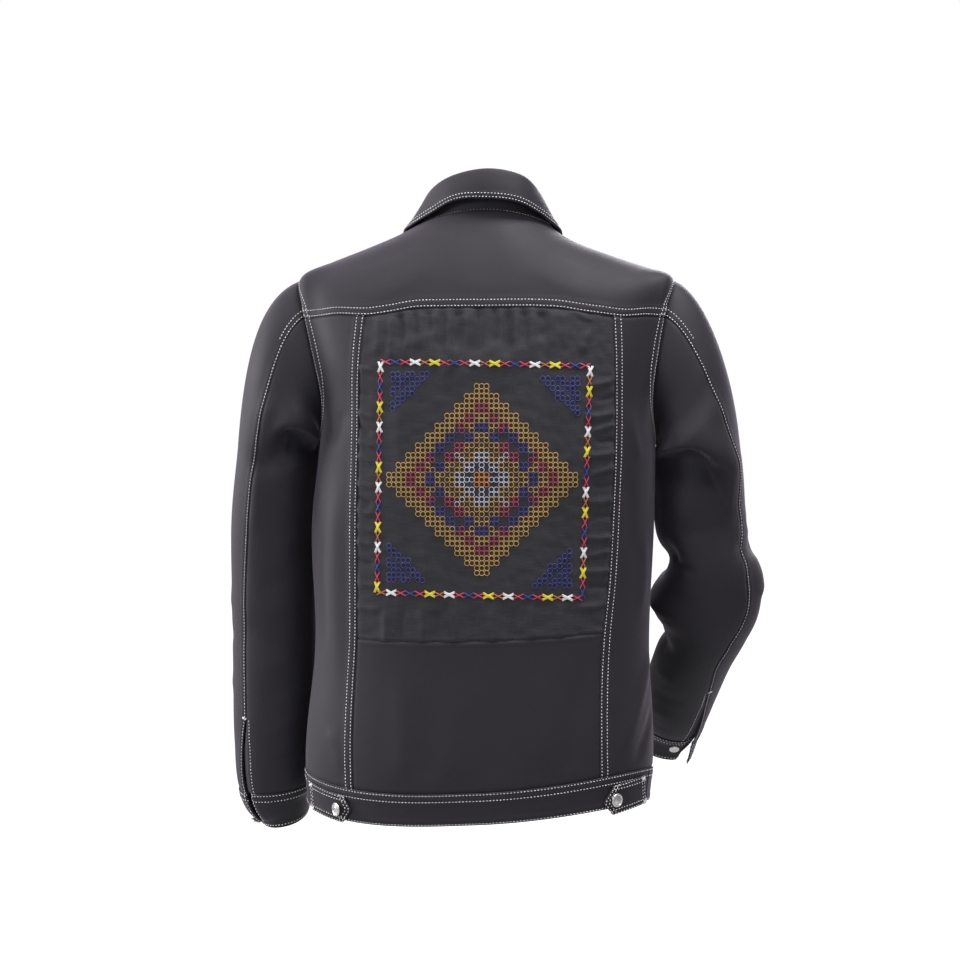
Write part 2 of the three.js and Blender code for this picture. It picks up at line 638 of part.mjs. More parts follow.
function addSleeve(side, name) {
  const make = (piece, turns, edges, out) => {
    const place = (run, turn) => {
      const [from, to] = edges(run);
      return from + ((to - from) * (turn - turns[0])) / (turns[turns.length - 1] - turns[0]);
    };
    const grid = RUNS[side].map((run) => turns.map((turn) => [run, place(run, turn), turn]));
    const points = grid.map((row) => row.map(([run, turn]) => sleeve(side, run, turn, out(run, turn))));
    const normals = grid.map((row) => row.map(([run, turn]) => (
      run > 0 ? sleeveNormal(side, run, turn) : bodyNormal(...armhole(side, turn))
    )));
    addWall(`${piece}_${name}`, points, normals, CLOTH, KNIT);
  };
  make('sleeve_under', UNDER_TURNS, (run) => [backSeam(side, run), FRONT_SEAM], () => 0);
  const upper = (run) => [FRONT_SEAM - 360, upperEdge(side, run)];
  make('sleeve_upper', UPPER_TURNS, upper, (run, turn) => flare(side, run, turn));
}

function addCuff(side, name) {
  const runs = steps(CUFF, 1, 2);
  const place = (run, share) => {
    const from = backSeam(side, run);
    return from + (upperEdge(side, run) + 360 - from) * share;
  };
  const grid = runs.map((run) => steps(0, 1, 16).map((share) => [run, place(run, share)]));
  const out = (run, turn) => BAND_OUT + flare(side, run, turn - 360);
  const points = grid.map((row) => row.map(([run, turn]) => sleeve(side, run, turn, out(run, turn))));
  const normals = grid.map((row) => row.map(([run, turn]) => sleeveNormal(side, run, turn)));
  addWall(`cuff_${name}`, points, normals, BAND, KNIT);
}

// ---------------------------------------------------------------- buttons
// Tack button: a flat foot, a raised rim and a dished face.
function addButton(name, point, normal) {
  const { radius, height, lift, sides } = BUTTON;
  const outline = [[0, 0], [0.62, 0], [1, 0.5], [0.9, 1], [0.62, 0.82], [0, 0.9]];
  const profile = outline.map(([r, z]) => new THREE.Vector2(r * radius, z * height));
  const geometry = new THREE.LatheGeometry(profile, sides);
  const mesh = add(name, geometry, STEEL);
  mesh.quaternion.setFromUnitVectors(new THREE.Vector3(0, 1, 0), normal);
  mesh.position.copy(point).addScaledVector(normal, lift);
}

function addButtons() {
  const onTab = BAND_OUT + LAY + BAND;
  const body = (name, angle, level, out) => (
    addButton(name, torso(angle, level, out), torsoNormal(angle, level))
  );
  body('tab_button_left', TAB_BUTTON[LEFT].angle, TAB_BUTTON[LEFT].level, onTab);
  body('tab_button_right', -TAB_BUTTON[RIGHT].angle, TAB_BUTTON[RIGHT].level, onTab);
  PLACKET_BUTTONS.forEach((level, i) => {
    body(`front_button_${i + 1}`, angleOf(0, level, true), level, LAY + CLOTH);
  });
  body('waistband_button', angleOf(0, WAIST_BUTTON, true), WAIST_BUTTON, onTab);
  const onCuff = (name, side, turn) => {
    const run = (CUFF + 1) / 2;
    addButton(name, sleeve(side, run, turn, BAND_OUT), sleeveNormal(side, run, turn));
  };
  onCuff('cuff_button_left', LEFT, upperEdge(LEFT, 0.97) - 16);
  onCuff('cuff_button_right', RIGHT, backSeam(RIGHT, 0.97) + 16);
}

addYoke();
addBack();
addSideBack(LEFT, 'side_back_left');
addSideBack(RIGHT, 'side_back_right');
addFront(LEFT, 'front_left');
addFront(RIGHT, 'front_right');
addPlacket();
addWaistband();
addTab(LEFT, 'side_tab_left');
addTab(RIGHT, 'side_tab_right');
addCollar();
addSleeve(LEFT, 'left');
addSleeve(RIGHT, 'right');
addCuff(LEFT, 'left');
addCuff(RIGHT, 'right');
addButtons();

export default jacket;
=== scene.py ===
# A worn trucker jacket of smooth charcoal knit, with contrast topstitching, a slubbed woven back
# panel with thread embroidery, and metal tack buttons. Tables and surface functions are in
# millimetres in the part's own frame; meshes are made in metres.
import math

import bpy
import numpy as np
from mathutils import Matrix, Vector
from mathutils.bvhtree import BVHTree


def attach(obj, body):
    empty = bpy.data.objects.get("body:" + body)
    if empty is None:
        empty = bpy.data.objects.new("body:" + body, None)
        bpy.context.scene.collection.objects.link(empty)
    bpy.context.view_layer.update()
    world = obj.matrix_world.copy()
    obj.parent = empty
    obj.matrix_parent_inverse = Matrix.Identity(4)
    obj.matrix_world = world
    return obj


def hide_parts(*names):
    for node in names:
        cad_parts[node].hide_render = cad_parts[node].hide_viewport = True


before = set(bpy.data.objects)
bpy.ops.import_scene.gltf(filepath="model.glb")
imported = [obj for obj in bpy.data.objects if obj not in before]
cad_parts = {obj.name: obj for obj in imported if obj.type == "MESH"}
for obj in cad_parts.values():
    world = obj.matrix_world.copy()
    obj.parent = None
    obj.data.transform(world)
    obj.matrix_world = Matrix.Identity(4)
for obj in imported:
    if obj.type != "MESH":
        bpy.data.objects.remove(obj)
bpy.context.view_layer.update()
MM = 0.001

# ---------------------------------------------------------------- sizes of the cut
# A level is a height; an angle goes round the body, 0 at the centre back, 90 at the wearer's left
# and 180 at the front; a sleeve's run goes from 0 at the armhole to 1 at the cuff's edge.
LEFT, RIGHT = 1, -1
SIDES = ((LEFT, "left"), (RIGHT, "right"))
CLOTH = 1.9  # wall of the body cloth
BAND = 3.0  # wall of the doubled bands
COLLAR_WALL = 2.6
HEM, WAIST, PANEL_SEAM = -686.5, -651.0, -484.0
LOWEST_LEVEL = -702.0
BAND_SEAM, SIDE_SEAM = 75.0, 94.5
SHOULDER, SHOULDER_NECK = 360.0, 103.0
BACK_SEAM, FRONT_SEAM = 63.0, 247.5
BACK_SEAM_BOW = 9.0  # degrees by which the sleeve's back seam bows out over the cap
CAP, CUFF = 0.25, 0.922  # runs at which the sleeve's cap ends and its cuff starts
CAP_LEAN = (0.95, 0.35, -0.3)  # the way the cap leaves the armhole: out, back and up
CAP_PUFF = {LEFT: 0.85, RIGHT: 0.6}  # strength of the cap's curve at its top
CAP_LEAVE, CAP_ARRIVE = 0.9, 1.1  # its strength under the arm, and where it meets the tube
SLEEVE_SQUARE, CHEST_SQUARE = 2.15, 2.1  # 2 makes an ellipse, and more makes it squarer
SLEEVE_LONG, CUFF_ROUND, CUFF_HIGH = 640, 290, 45
UPPER_WIDE, UNDER_WIDE = 175, 165
PLACKET_HALF, PLACKET_LONG, PLACKET_TOP = 22.0, 628, -9.0
TAB_LONG, TAB_WIDE = 80, 28
BAND_WIDE, BACK_BAND, RIGHT_BAND, LEFT_BAND = 36, 460, 270, 300
BAND_LAP = (15, 3)  # x on the front at which the left end of the band starts to climb, and has
COLLAR_RISE, COLLAR_ROOT = 0.8, 1.0
COLLAR_ROWS, COLLAR_COLUMNS = 46, 181
BAND_OUT, LAY = 0.5, 0.6  # how far the bands stand out, and the air between two layers
PLACKET_OUT = LAY + CLOTH + 0.4
TAB_OUT = BAND_OUT + LAY + BAND
YOKE_EASE = 30.0  # degrees over which the yoke seam is eased down to the sleeve's back seam
BLADE_OUT, BLADE_SHAPE = 17.0, 1.3  # the shoulder blades, which hold the back flat beside the arms
BLADE_ANGLES = (55, 80, 84, 101)  # where it starts, is full, starts to fall and ends
BLADE_LEVELS = (-268, -205, -118, -70)


def table(names, rows):
    """Columns by name; the first one is what the others are looked up by."""
    return dict(zip(names.split(), np.array(rows, float).T))


# Rings of the body by their level at the centre back: their levels at the side and the front, how
# much higher the left side is, their middle, half width and depths behind and in front, how square
# the back is, and how far the quarters roll.
TORSO = table("level side front lean middle half back breast square roll", [
    (-702, -687, -697, 0, 13.5, 196, 112, -118, 2.35, -7),
    (-688, -673, -683, 0, 13.5, 196, 112, -118, 2.35, -7),
    (-651, -634, -644, 0, 12.7, 199, 114, -120, 2.35, -7),
    (-500, -489, -497, 0, 9, 191.5, 112, -122, 2.4, -4),
    (-350, -342, -347, 0, 7.5, 196, 117, -126, 2.5, 0),
    (-280, -262, -275, 0, 2.5, 192, 120, -127, 2.7, 0),
    (-235, -213, -232, 0, 2, 190, 120, -126, 2.8, 0),
    (-190, -155, -188, 0, 4, 200, 118, -121, 2.8, 0),
    (-150, -108, -152, 0.5, 5, 208, 113, -112, 2.7, 0),
    (-115, -75, -125, 1, 3, 211, 107, -101, 2.5, 0),
    (-82, -59.5, -106, 4, 0, 179, 98, -92, 2.4, 0),
    (-52, -45.5, -92, 5, 0, 141, 86, -84, 2.3, 0),
    (-26, -30, -82, 4, 4, 102, 73, -77, 2.2, 0),
    (-8, -17, -76, 2, 5, 80, 63, -72, 2.1, 0),
    (0, -11.5, -73, 0.5, 4, 73, 58, -69, 2, 0),
])
YOKE_SEAM = table("angle level", [
    (-80, -163), (-71, -160), (-55, -150.5), (-42, -143.5), (-33, -135), (-25, -127), (-19, -120.5),
    (-12, -116.5), (0, -115), (9, -116.3), (15, -118.5), (23, -127), (30, -134), (36, -137.5),
    (44, -142), (55, -151), (70, -160.5), (80, -163),
])
# x of the two long seams of the back.
LONG_SEAM = table("level left right", [
    (-651, 149, -127), (-592, 150, -126.5), (-540, 148, -127), (-485, 145, -130),
    (-435, 144.5, -135), (-350, 144, -140), (-270, 142, -143), (-187, 140, -143), (-135, 135, -141),
])
# Angle and half width in degrees, level and half height of the armholes.
ARMHOLE = {LEFT: (94.5, 19.5, -198.0, 82.0), RIGHT: (94.5, 17.5, -198.0, 82.0)}
# Rings of the sleeves' tubes, by their share of a tube's length: their middle, half width and half
# depth, and the turn of the back seam there.
SLEEVE = {
    LEFT: table("run x y z wide deep seam", [
        (0, 244.5, -4, -272, 47, 60, 66.5),
        (0.182, 252.5, -22, -350, 49.3, 59, 64.4),
        (0.388, 253, -34, -440, 50.5, 56, 56.6),
        (0.592, 253, -40, -530, 50, 53, 55),
        (0.775, 255, -46, -610, 47.5, 50, 57),
        (0.885, 255.5, -52, -658, 43.5, 47, 57),
        (0.935, 252.5, -56, -677, 40, 45, 54),
        (0.965, 247.5, -59.5, -687.5, 32.5, 43, 43),
        (1, 244.5, -63, -701.5, 26.5, 41, 30),
    ]),
    RIGHT: table("run x y z wide deep seam", [
        (0, -238, -6, -272, 48, 60, 46),
        (0.097, -240, -14, -311, 51, 59, 37),
        (0.196, -242, -24, -350, 53, 58, 35),
        (0.35, -257, -28, -412, 49.5, 55, 47),
        (0.442, -262, -42, -447, 50, 54, 56),
        (0.512, -255, -57, -472, 46.5, 52.5, 57),
        (0.619, -240, -81, -505, 45, 50, 52),
        (0.748, -226.5, -116, -544, 44, 48.5, 47),
        (0.881, -214.5, -153, -583, 42.5, 46, 50),
        (0.935, -209.5, -168, -597, 42.3, 40.5, 53),
        (1, -203.5, -186, -615, 42, 42, 56),
    ]),
}
SLIT_TOP = 0.775  # run at which the sleeve's slit starts
SLIT = {
    LEFT: table("run open", [(SLIT_TOP, 0), (0.83, 7.5), (0.88, 10), (0.93, 9), (1, 4)]),
    RIGHT: table("run open", [(SLIT_TOP, 0), (0.85, 3), (0.93, 4), (1, 9)]),
}
# How far the cloth stands off beside the slit, over so many degrees.
FLARE = {LEFT: 1.0, RIGHT: 10.0}
FLARE_ANGLE = 40.0
# Largest folds of the sleeves: run and angle of their start and end, their reach and their rise.
FOLDS = {
    LEFT: [
        (0.165, 84, 0.12, 135, 20, 4),
        (0.25, 84, 0.2, 118, 17, -6),
        (0.22, 120, 0.19, 160, 14, -4),
        (0.64, 120, 0.6, 75, 22, -2.5),
    ],
    RIGHT: [
        (0.16, 105, 0.18, 66, 20, 4),
        (0.29, 120, 0.29, 78, 18, -6),
        (0.452, 150, 0.462, 205, 15, -9),
        (0.575, 165, 0.59, 205, 29, 29),
        (0.7, 150, 0.71, 210, 12, -5),
        (0.478, 45, 0.475, 0, 12, -5),
        (0.535, 15, 0.525, -25, 20, 6),
    ],
}
FOLD_FADE_TOP, FOLD_FADE_CUFF = 0.08, 0.06  # runs over which the sleeves' folds fade
# Half of the collar, from the centre back (0) to its point (1): the body's angle at the neck seam,
# the place of the fold, and the angle, level and lift of the fall's edge.
COLLAR = table("part neck x y z angle level lift", [
    (-0.2, -30, -38, 54, 36.5, -24, -2.5, 16),
    (0, 0, 0, 63, 42.5, 0, -0.5, 17),
    (0.2, 30, 38, 54, 36.5, 24, -2.5, 16),
    (0.38, 56, 60, 35, 25, 46, -8.5, 8.5),
    (0.55, 82, 69, 10, 10, 72, -18, 3.5),
    (0.7, 112, 66, -28, -12, 100, -24, 3.5),
    (0.85, 143, 45, -62, -42, 130, -43, 4.5),
    (1, 174, 8, -77, -64, 165, -100, 5),
])
COLLAR_WIDTH = {LEFT: 1.04, RIGHT: 0.87}
COLLAR_FALL = {LEFT: 0.95, RIGHT: 0.6}
COLLAR_LIFT = {LEFT: 0.72, RIGHT: 1.15}
COLLAR_UNEVEN = (0.05, 0.45, 0.8, 1)  # stretch of each half over which the three above hold
COLLAR_IN, COLLAR_OUT = (-3.0, -2.0), (3.4, -2.4)  # out and up from the fold to its two sides
COLLAR_STAND = (0.5, -0.6)  # share of the way up the stand, and how far it bulges there
COLLAR_FALLS = ((0.35, 1.6), (0.7, 1.4))  # the same down the fall
# Angle and level of the lower and upper corners of the root, then of the point's, then of its tip.
TABS = {
    LEFT: ((66.5, -685.5), (67.5, -655), (44.6, -688.6), (43.6, -659.3), (40.4, -673.2)),
    RIGHT: ((72, -687.3), (67.8, -656.3), (48, -693.4), (47.8, -661), (43.2, -678.9)),
}
TAB_BUTTON = {LEFT: (46.4, -673.8), RIGHT: (48.6, -676.2)}
TAB_LEAN = 20  # degrees by which the tab buttons lean towards the sides
TAB_BUTTON_OUT, PLACKET_BUTTON_OUT = 1.6, 0.7
TAB_RISE, TAB_RISE_ANGLES = 0.5, (42, 66)  # the tabs rise a little towards their roots
PLACKET_BUTTONS = (-30, -202, -317, -432, -547)
WAIST_BUTTON = -669.5

# ---------------------------------------------------------------- sewing
NEEDLES = (2.0, 9.0)  # the two rows of topstitching, measured from the seam
ARM_NEEDLES = (2.4, 11.5)
NECK_NEEDLE = 1.2
PLACKET_NEEDLES = (2.2, 9.0)
EDGE_NEEDLE = 2.4  # the single row along a band's edge
CUFF_NEEDLE, SLIT_NEEDLE = 5.2, 4.5
TAB_NEEDLES, TAB_ROOT_NEEDLES = (2.2, 6.6), (3.0, 7.5)
COLLAR_NEEDLES = (2.6, 6.6)
PITCH = 3.75  # one stitch to the next
STITCH_LONG, THREAD_WIDE, THREAD_LIFT = 2.1, 1.12, 0.12
STITCH_SEED = 7
TACK_STEP, TACK_WIDE = 0.55, 1.0  # zigzag of a bar tack
TACK_THREAD = (0.95, 2.0, 0.8)  # its pitch, the length of its stitches and their width
TAB_TACK, SLIT_TACK = (5.2, 6.0), (2.6, 5.0)  # distance from the edge, and length
TAB_TACK_PLACES = (0.12, 0.88)
ALLOWANCE = (7.0, 11.5)  # width of cloth turned under one and two rows of stitching
LAP_RISE = (0.35, 0.55)  # how far it lifts them
ALLOWANCE_EDGE = (2.5, -1.5)  # the stretch about its edge over which that rise ends
CHANNEL, CHANNEL_WIDE = 0.42, 1.15  # how deep the stitches draw the cloth in, and how far
# Rise, reach and distance of the swells along an edge: under its neighbour, and joined to it.
UNDER_EDGE = (-1.1, 2.4, 0)
JOINED_EDGE = ((-0.85, 1.5, 0), (0.3, 2, 3.4))
UNDERLAP = {LEFT: 7.0, RIGHT: 21.0}  # cloth that lies under the sleeve slit's upper edge
LAP_STARTS = (0.01, 0.07)  # runs below the top of the slit at which it starts and is full
PRESS, CUFF_PRESS = 1.7, 1.6  # how far that cloth is pressed in, and how many times more the cuff
PRESS_TURN, PRESS_LAP = (2, -6), (0, 4)  # degrees from the seam, and degrees of lap, to full press
CUFF_TONGUE = {LEFT: 0, RIGHT: 26}  # degrees the cuff reaches on under its other end, at its top
PUCKER, PUCKER_UNDER = 0.22, 0.6  # height of the puckers along a lap, and their share under it
PUCKER_REACH, PUCKER_FROM = 7, 5
LAPPED_ROUND, FREE_ROUND = 0.7, 0.47  # radius of a lapped edge; of a free one, by its wall
WEAR_REACH = 1.1
# Distances from an edge at which its grid is close.
EDGE_PLACES = (0, 0.35, 0.8, 1.4, 2.0, 2.9, 4.2, 6, 7.4, 8.4, 9.4, 11, 13, 16)


# ---------------------------------------------------------------- surfaces
def hermite(a, b, slope_a, slope_b, t):
    tt, ttt = t * t, t * t * t
    return ((2 * ttt - 3 * tt + 1) * a + (ttt - 2 * tt + t) * slope_a
            + (3 * tt - 2 * ttt) * b + (ttt - tt) * slope_b)


def track(rows, column, at):
    """Smooth value of a table's column, at a place in its first column."""
    keys = rows[next(iter(rows))]
    values = rows[column]
    at = np.clip(np.asarray(at, float), keys[0], keys[-1])
    span = np.diff(keys)
    grade = np.diff(values) / span
    inner = (grade[:-1] * span[1:] + grade[1:] * span[:-1]) / (span[:-1] + span[1:])
    slope = np.concatenate([grade[:1], inner, grade[-1:]])
    i = np.clip(np.searchsorted(keys, at, side="right") - 1, 0, len(keys) - 2)
    t = (at - keys[i]) / span[i]
    return hermite(values[i], values[i + 1], slope[i] * span[i], slope[i + 1] * span[i], t)


def smooth(low, high, x):
    t = np.clip((np.asarray(x, float) - low) / (high - low), 0, 1)
    return t * t * (3 - 2 * t)


def plateau(x, start, full, fading, end):
    """Rises from 0 at start to 1 at full, and falls from 1 at fading to 0 at end."""
    return smooth(start, full, x) * smooth(end, fading, x)


def swell(distance, reach, middle=0.0):
    """1 at the middle, and next to nothing at twice the reach."""
    return np.exp(-(((distance - middle) / reach) ** 2))


def unit(v):
    return v / np.maximum(np.linalg.norm(v, axis=-1, keepdims=True), 1e-12)


def power(value, square):
    return np.sign(value) * np.abs(value) ** (2 / square)


def blade(angle, level):
    """How far the back stands out beside the armholes, where it stays flat out to the seam."""
    start, full, fading, end = BLADE_ANGLES
    spread = np.abs(angle)
    side = smooth(start, full, spread) ** BLADE_SHAPE * smooth(end, fading, spread)
    return BLADE_OUT * side * plateau(level, *BLADE_LEVELS)


def torso(angle, level, out=None):
    """Points of the body at angles and levels, some way out of it where out is given."""
    angle, level = np.broadcast_arrays(np.asarray(angle, float), np.asarray(level, float))
    sine, cosine = np.sin(np.radians(angle)), np.cos(np.radians(angle))
    back = cosine > 0
    square = np.where(back, track(TORSO, "square", level), CHEST_SQUARE)
    depth = np.where(back, track(TORSO, "back", level), -track(TORSO, "breast", level))
    end = np.where(back, level, track(TORSO, "front", level))
    side = track(TORSO, "side", level)
    points = np.stack([
        track(TORSO, "middle", level) + track(TORSO, "half", level) * power(sine, square),
        depth * power(cosine, square) + blade(angle, level),
        side + (end - side) * cosine**2 + track(TORSO, "roll", level) * 2 * sine * cosine
        + track(TORSO, "lean", level) * sine,
    ], -1)
    if out is None:
        return points
    return points + torso_normal(angle, level) * np.asarray(out, float)[..., None]


def torso_normal(angle, level):
    angle, level = np.broadcast_arrays(np.asarray(angle, float), np.asarray(level, float))
    around = torso(angle + 0.5, level) - torso(angle - 0.5, level)
    rise = torso(angle, np.minimum(level + 1, 0)) - torso(angle, np.maximum(level - 1, LOWEST_LEVEL))
    return unit(np.cross(rise, around))


def angle_of(x, level, front=False):
    """Angle at which the ring of a level stands x to the side."""
    square = CHEST_SQUARE if front else track(TORSO, "square", level)
    share = (x - track(TORSO, "middle", level)) / track(TORSO, "half", level)
    angle = np.degrees(np.arcsin(np.sign(share) * np.abs(share) ** (square / 2)))
    return 180 - angle if front else angle


def armhole(side, turn):
    mid, half, level, rise = ARMHOLE[side]
    turn = np.radians(turn)
    return side * (mid - half * np.sin(turn)), level + rise * np.cos(turn)


def sleeve_frame(side, run):
    rows = SLEEVE[side]

    def centre(at):
        return np.stack([track(rows, axis, at) for axis in "xyz"], -1)

    along = unit(centre(np.minimum(run + 0.01, 1)) - centre(np.maximum(run - 0.01, 0)))
    ahead = np.array([0.0, 1.0, 0.0])
    back = unit(ahead - along * along[..., 1:2])
    outer = np.cross(along, back)
    outer = outer * np.where(outer[..., :1] * side < 0, -1, 1)
    return centre(run), along, back, outer


def tube(side, run, turn):
    """The sleeve below its cap, as rings round its own middle line."""
    centre, _, back, outer = sleeve_frame(side, run)
    turn = np.radians(turn)
    wide = track(SLEEVE[side], "wide", run) * power(np.cos(turn), SLEEVE_SQUARE)
    deep = track(SLEEVE[side], "deep", run) * power(np.sin(turn), SLEEVE_SQUARE)
    return centre + outer * wide[..., None] + back * deep[..., None]


def cap(side, share, turn):
    """Sleeve cap: leaves the armhole outwards and bends down into the arm."""
    root = np.zeros_like(share)
    start = torso(*armhole(side, turn))
    end = tube(side, root, turn)
    reach = np.linalg.norm(start - end, axis=-1, keepdims=True)
    top = (1 + np.cos(np.radians(turn))) / 2
    out, back, up = CAP_LEAN
    lean = np.stack([out * side + root, back * np.sin(np.radians(turn)), root + up], -1)
    leave = unit(lean) * reach * (CAP_LEAVE + (CAP_PUFF[side] - CAP_LEAVE) * top)[..., None]
    arrive = sleeve_frame(side, root)[1] * reach * CAP_ARRIVE
    return hermite(start, end, leave, arrive, share[..., None])


def below_cap(run):
    """Share of the tube at a run of the whole sleeve."""
    return (run - CAP) / (1 - CAP)


def smooth_sleeve(side, run, turn):
    run, turn = np.broadcast_arrays(np.asarray(run, float), np.asarray(turn, float))
    upper = cap(side, np.clip(run / CAP, 0, 1), turn)
    lower = tube(side, np.clip(below_cap(run), 0, 1), turn)
    return np.where((run < CAP)[..., None], upper, lower)


def sleeve_normal(side, run, turn):
    around = smooth_sleeve(side, run, turn + 1) - smooth_sleeve(side, run, turn - 1)
    along = (smooth_sleeve(side, np.minimum(run + 0.004, 1), turn)
             - smooth_sleeve(side, np.maximum(run - 0.004, 0), turn))
    return unit(np.cross(around, along)) * -side


def path_distance(points, path):
    """Distance of points to a polyline, how far along it the nearest place is (0 to 1), the way
    from there to the point, and the polyline's heading there."""
    best = np.full(points.shape[:-1], 1e9)
    share = np.zeros(points.shape[:-1])
    away, heading = np.zeros_like(points), np.zeros_like(points)
    count = len(path) - 1
    for i in range(count):
        step = path[i + 1] - path[i]
        t = np.clip(((points - path[i]) @ step) / max(step @ step, 1e-9), 0, 1)
        apart = points - path[i] - t[..., None] * step
        gap = np.linalg.norm(apart, axis=-1)
        near = gap < best
        best = np.where(near, gap, best)
        share = np.where(near, (i + t) / count, share)
        away = np.where(near[..., None], apart, away)
        heading = np.where(near[..., None], unit(step), heading)
    return best, share, unit(away), heading


def bow(a, b, c, count=7):
    """Curve from a to c that passes b halfway."""
    a, b, c = (np.asarray(p, float) for p in (a, b, c))
    knot = 2 * b - (a + c) / 2
    t = np.linspace(0, 1, count)[:, None]
    return (1 - t) ** 2 * a + 2 * t * (1 - t) * knot + t**2 * c


def crease(points, path, reach, rise):
    """Soft ridge (or trough, where rise is negative) along a path, dying out at both ends. It is
    narrower on its lower side, where the cloth hangs over itself."""
    gap, share, away, _ = path_distance(points, path)
    below = np.clip(-away[..., 2], 0, 1)
    return rise * plateau(share, *CREASE_SHARES) * swell(gap, reach * (1 - CREASE_STEEP * below))


def add_creases(height, points, rows, place):
    """Adds a table of creases to the height of points; place finds the points of a crease's path."""
    for row in rows:
        marks = bow(row[:2], row[2:4], row[4:6])
        height += crease(points, place(marks[:, 0], marks[:, 1]), *row[6:])


def shelf(points, normals, path, reach, rise, hollow):
    """Cloth that doubles over: it swells up to a path, and falls off sharply into a hollow on the
    path's right-hand side, seen from outside."""
    gap, _, away, heading = path_distance(points, path)
    under = smooth(-SHELF_TURN, SHELF_TURN, (away * np.cross(heading, normals)).sum(-1))
    span = path[-1] - path[0]
    share = (points - path[0]) @ span / (span @ span)
    above = rise * swell(gap, reach)
    below = (rise + hollow) * swell(gap, SHELF_STEP) - hollow * swell(gap, reach)
    return plateau(share, *SHELF_SHARES) * (above + (below - above) * under)


# ---------------------------------------------------------------- creases, listed one by one
CREASE_SHARES = (0, 0.3, 0.7, 1)  # of its path, where it starts, is full, starts to fall and ends
CREASE_STEEP = 0.35  # how much narrower its lower side is
CREASE_GAIN = {"body": 1.3, "panel": 2.4, "front": 2.0}  # times the rises that the tables give
# x and level of start, middle and end on the back, then reach and rise.
BACK_CREASES = (
    # long soft folds of the side panels
    (168, -300, 172, -420, 166, -560, 14, 1.6), (184, -330, 186, -430, 182, -520, 10, -1.6),
    (-184, -505, -171, -570, -148, -640, 11, 2.2), (-190, -560, -179, -608, -162, -650, 9, -2.0),
    (-138, -640, -142, -600, -136, -560, 7, -1.2), (-168, -470, -176, -420, -172, -350, 11, 1.4),
    (-158, -300, -160, -350, -157, -400, 9, -1.2), (160, -640, 170, -610, 182, -590, 9, 1.2),
    (-172, -300, -164, -270, -158, -235, 8, 1.2), (172, -290, 164, -262, 158, -235, 8, -1.0),
    # back below the panel: broad, shallow falls of the cloth
    (-60, -640, -66, -580, -58, -500, 16, 1.1), (30, -645, 34, -590, 22, -510, 18, 1.0),
    (96, -645, 92, -590, 100, -505, 14, 1.2), (-100, -640, -96, -600, -104, -520, 12, -1.0),
    (-12, -640, -16, -600, -8, -540, 15, -0.8), (66, -640, 62, -600, 70, -530, 13, -0.9),
    # yoke: the pull from the neck to the shoulders
    (60, -30, 110, -62, 170, -92, 14, -1.0), (-60, -28, -110, -60, -168, -92, 14, -1.0),
    (50, -60, 90, -92, 140, -118, 16, 0.8), (-40, -62, -84, -92, -136, -118, 16, 0.8),
    (0, -20, 2, -55, 0, -96, 18, -0.7),
)
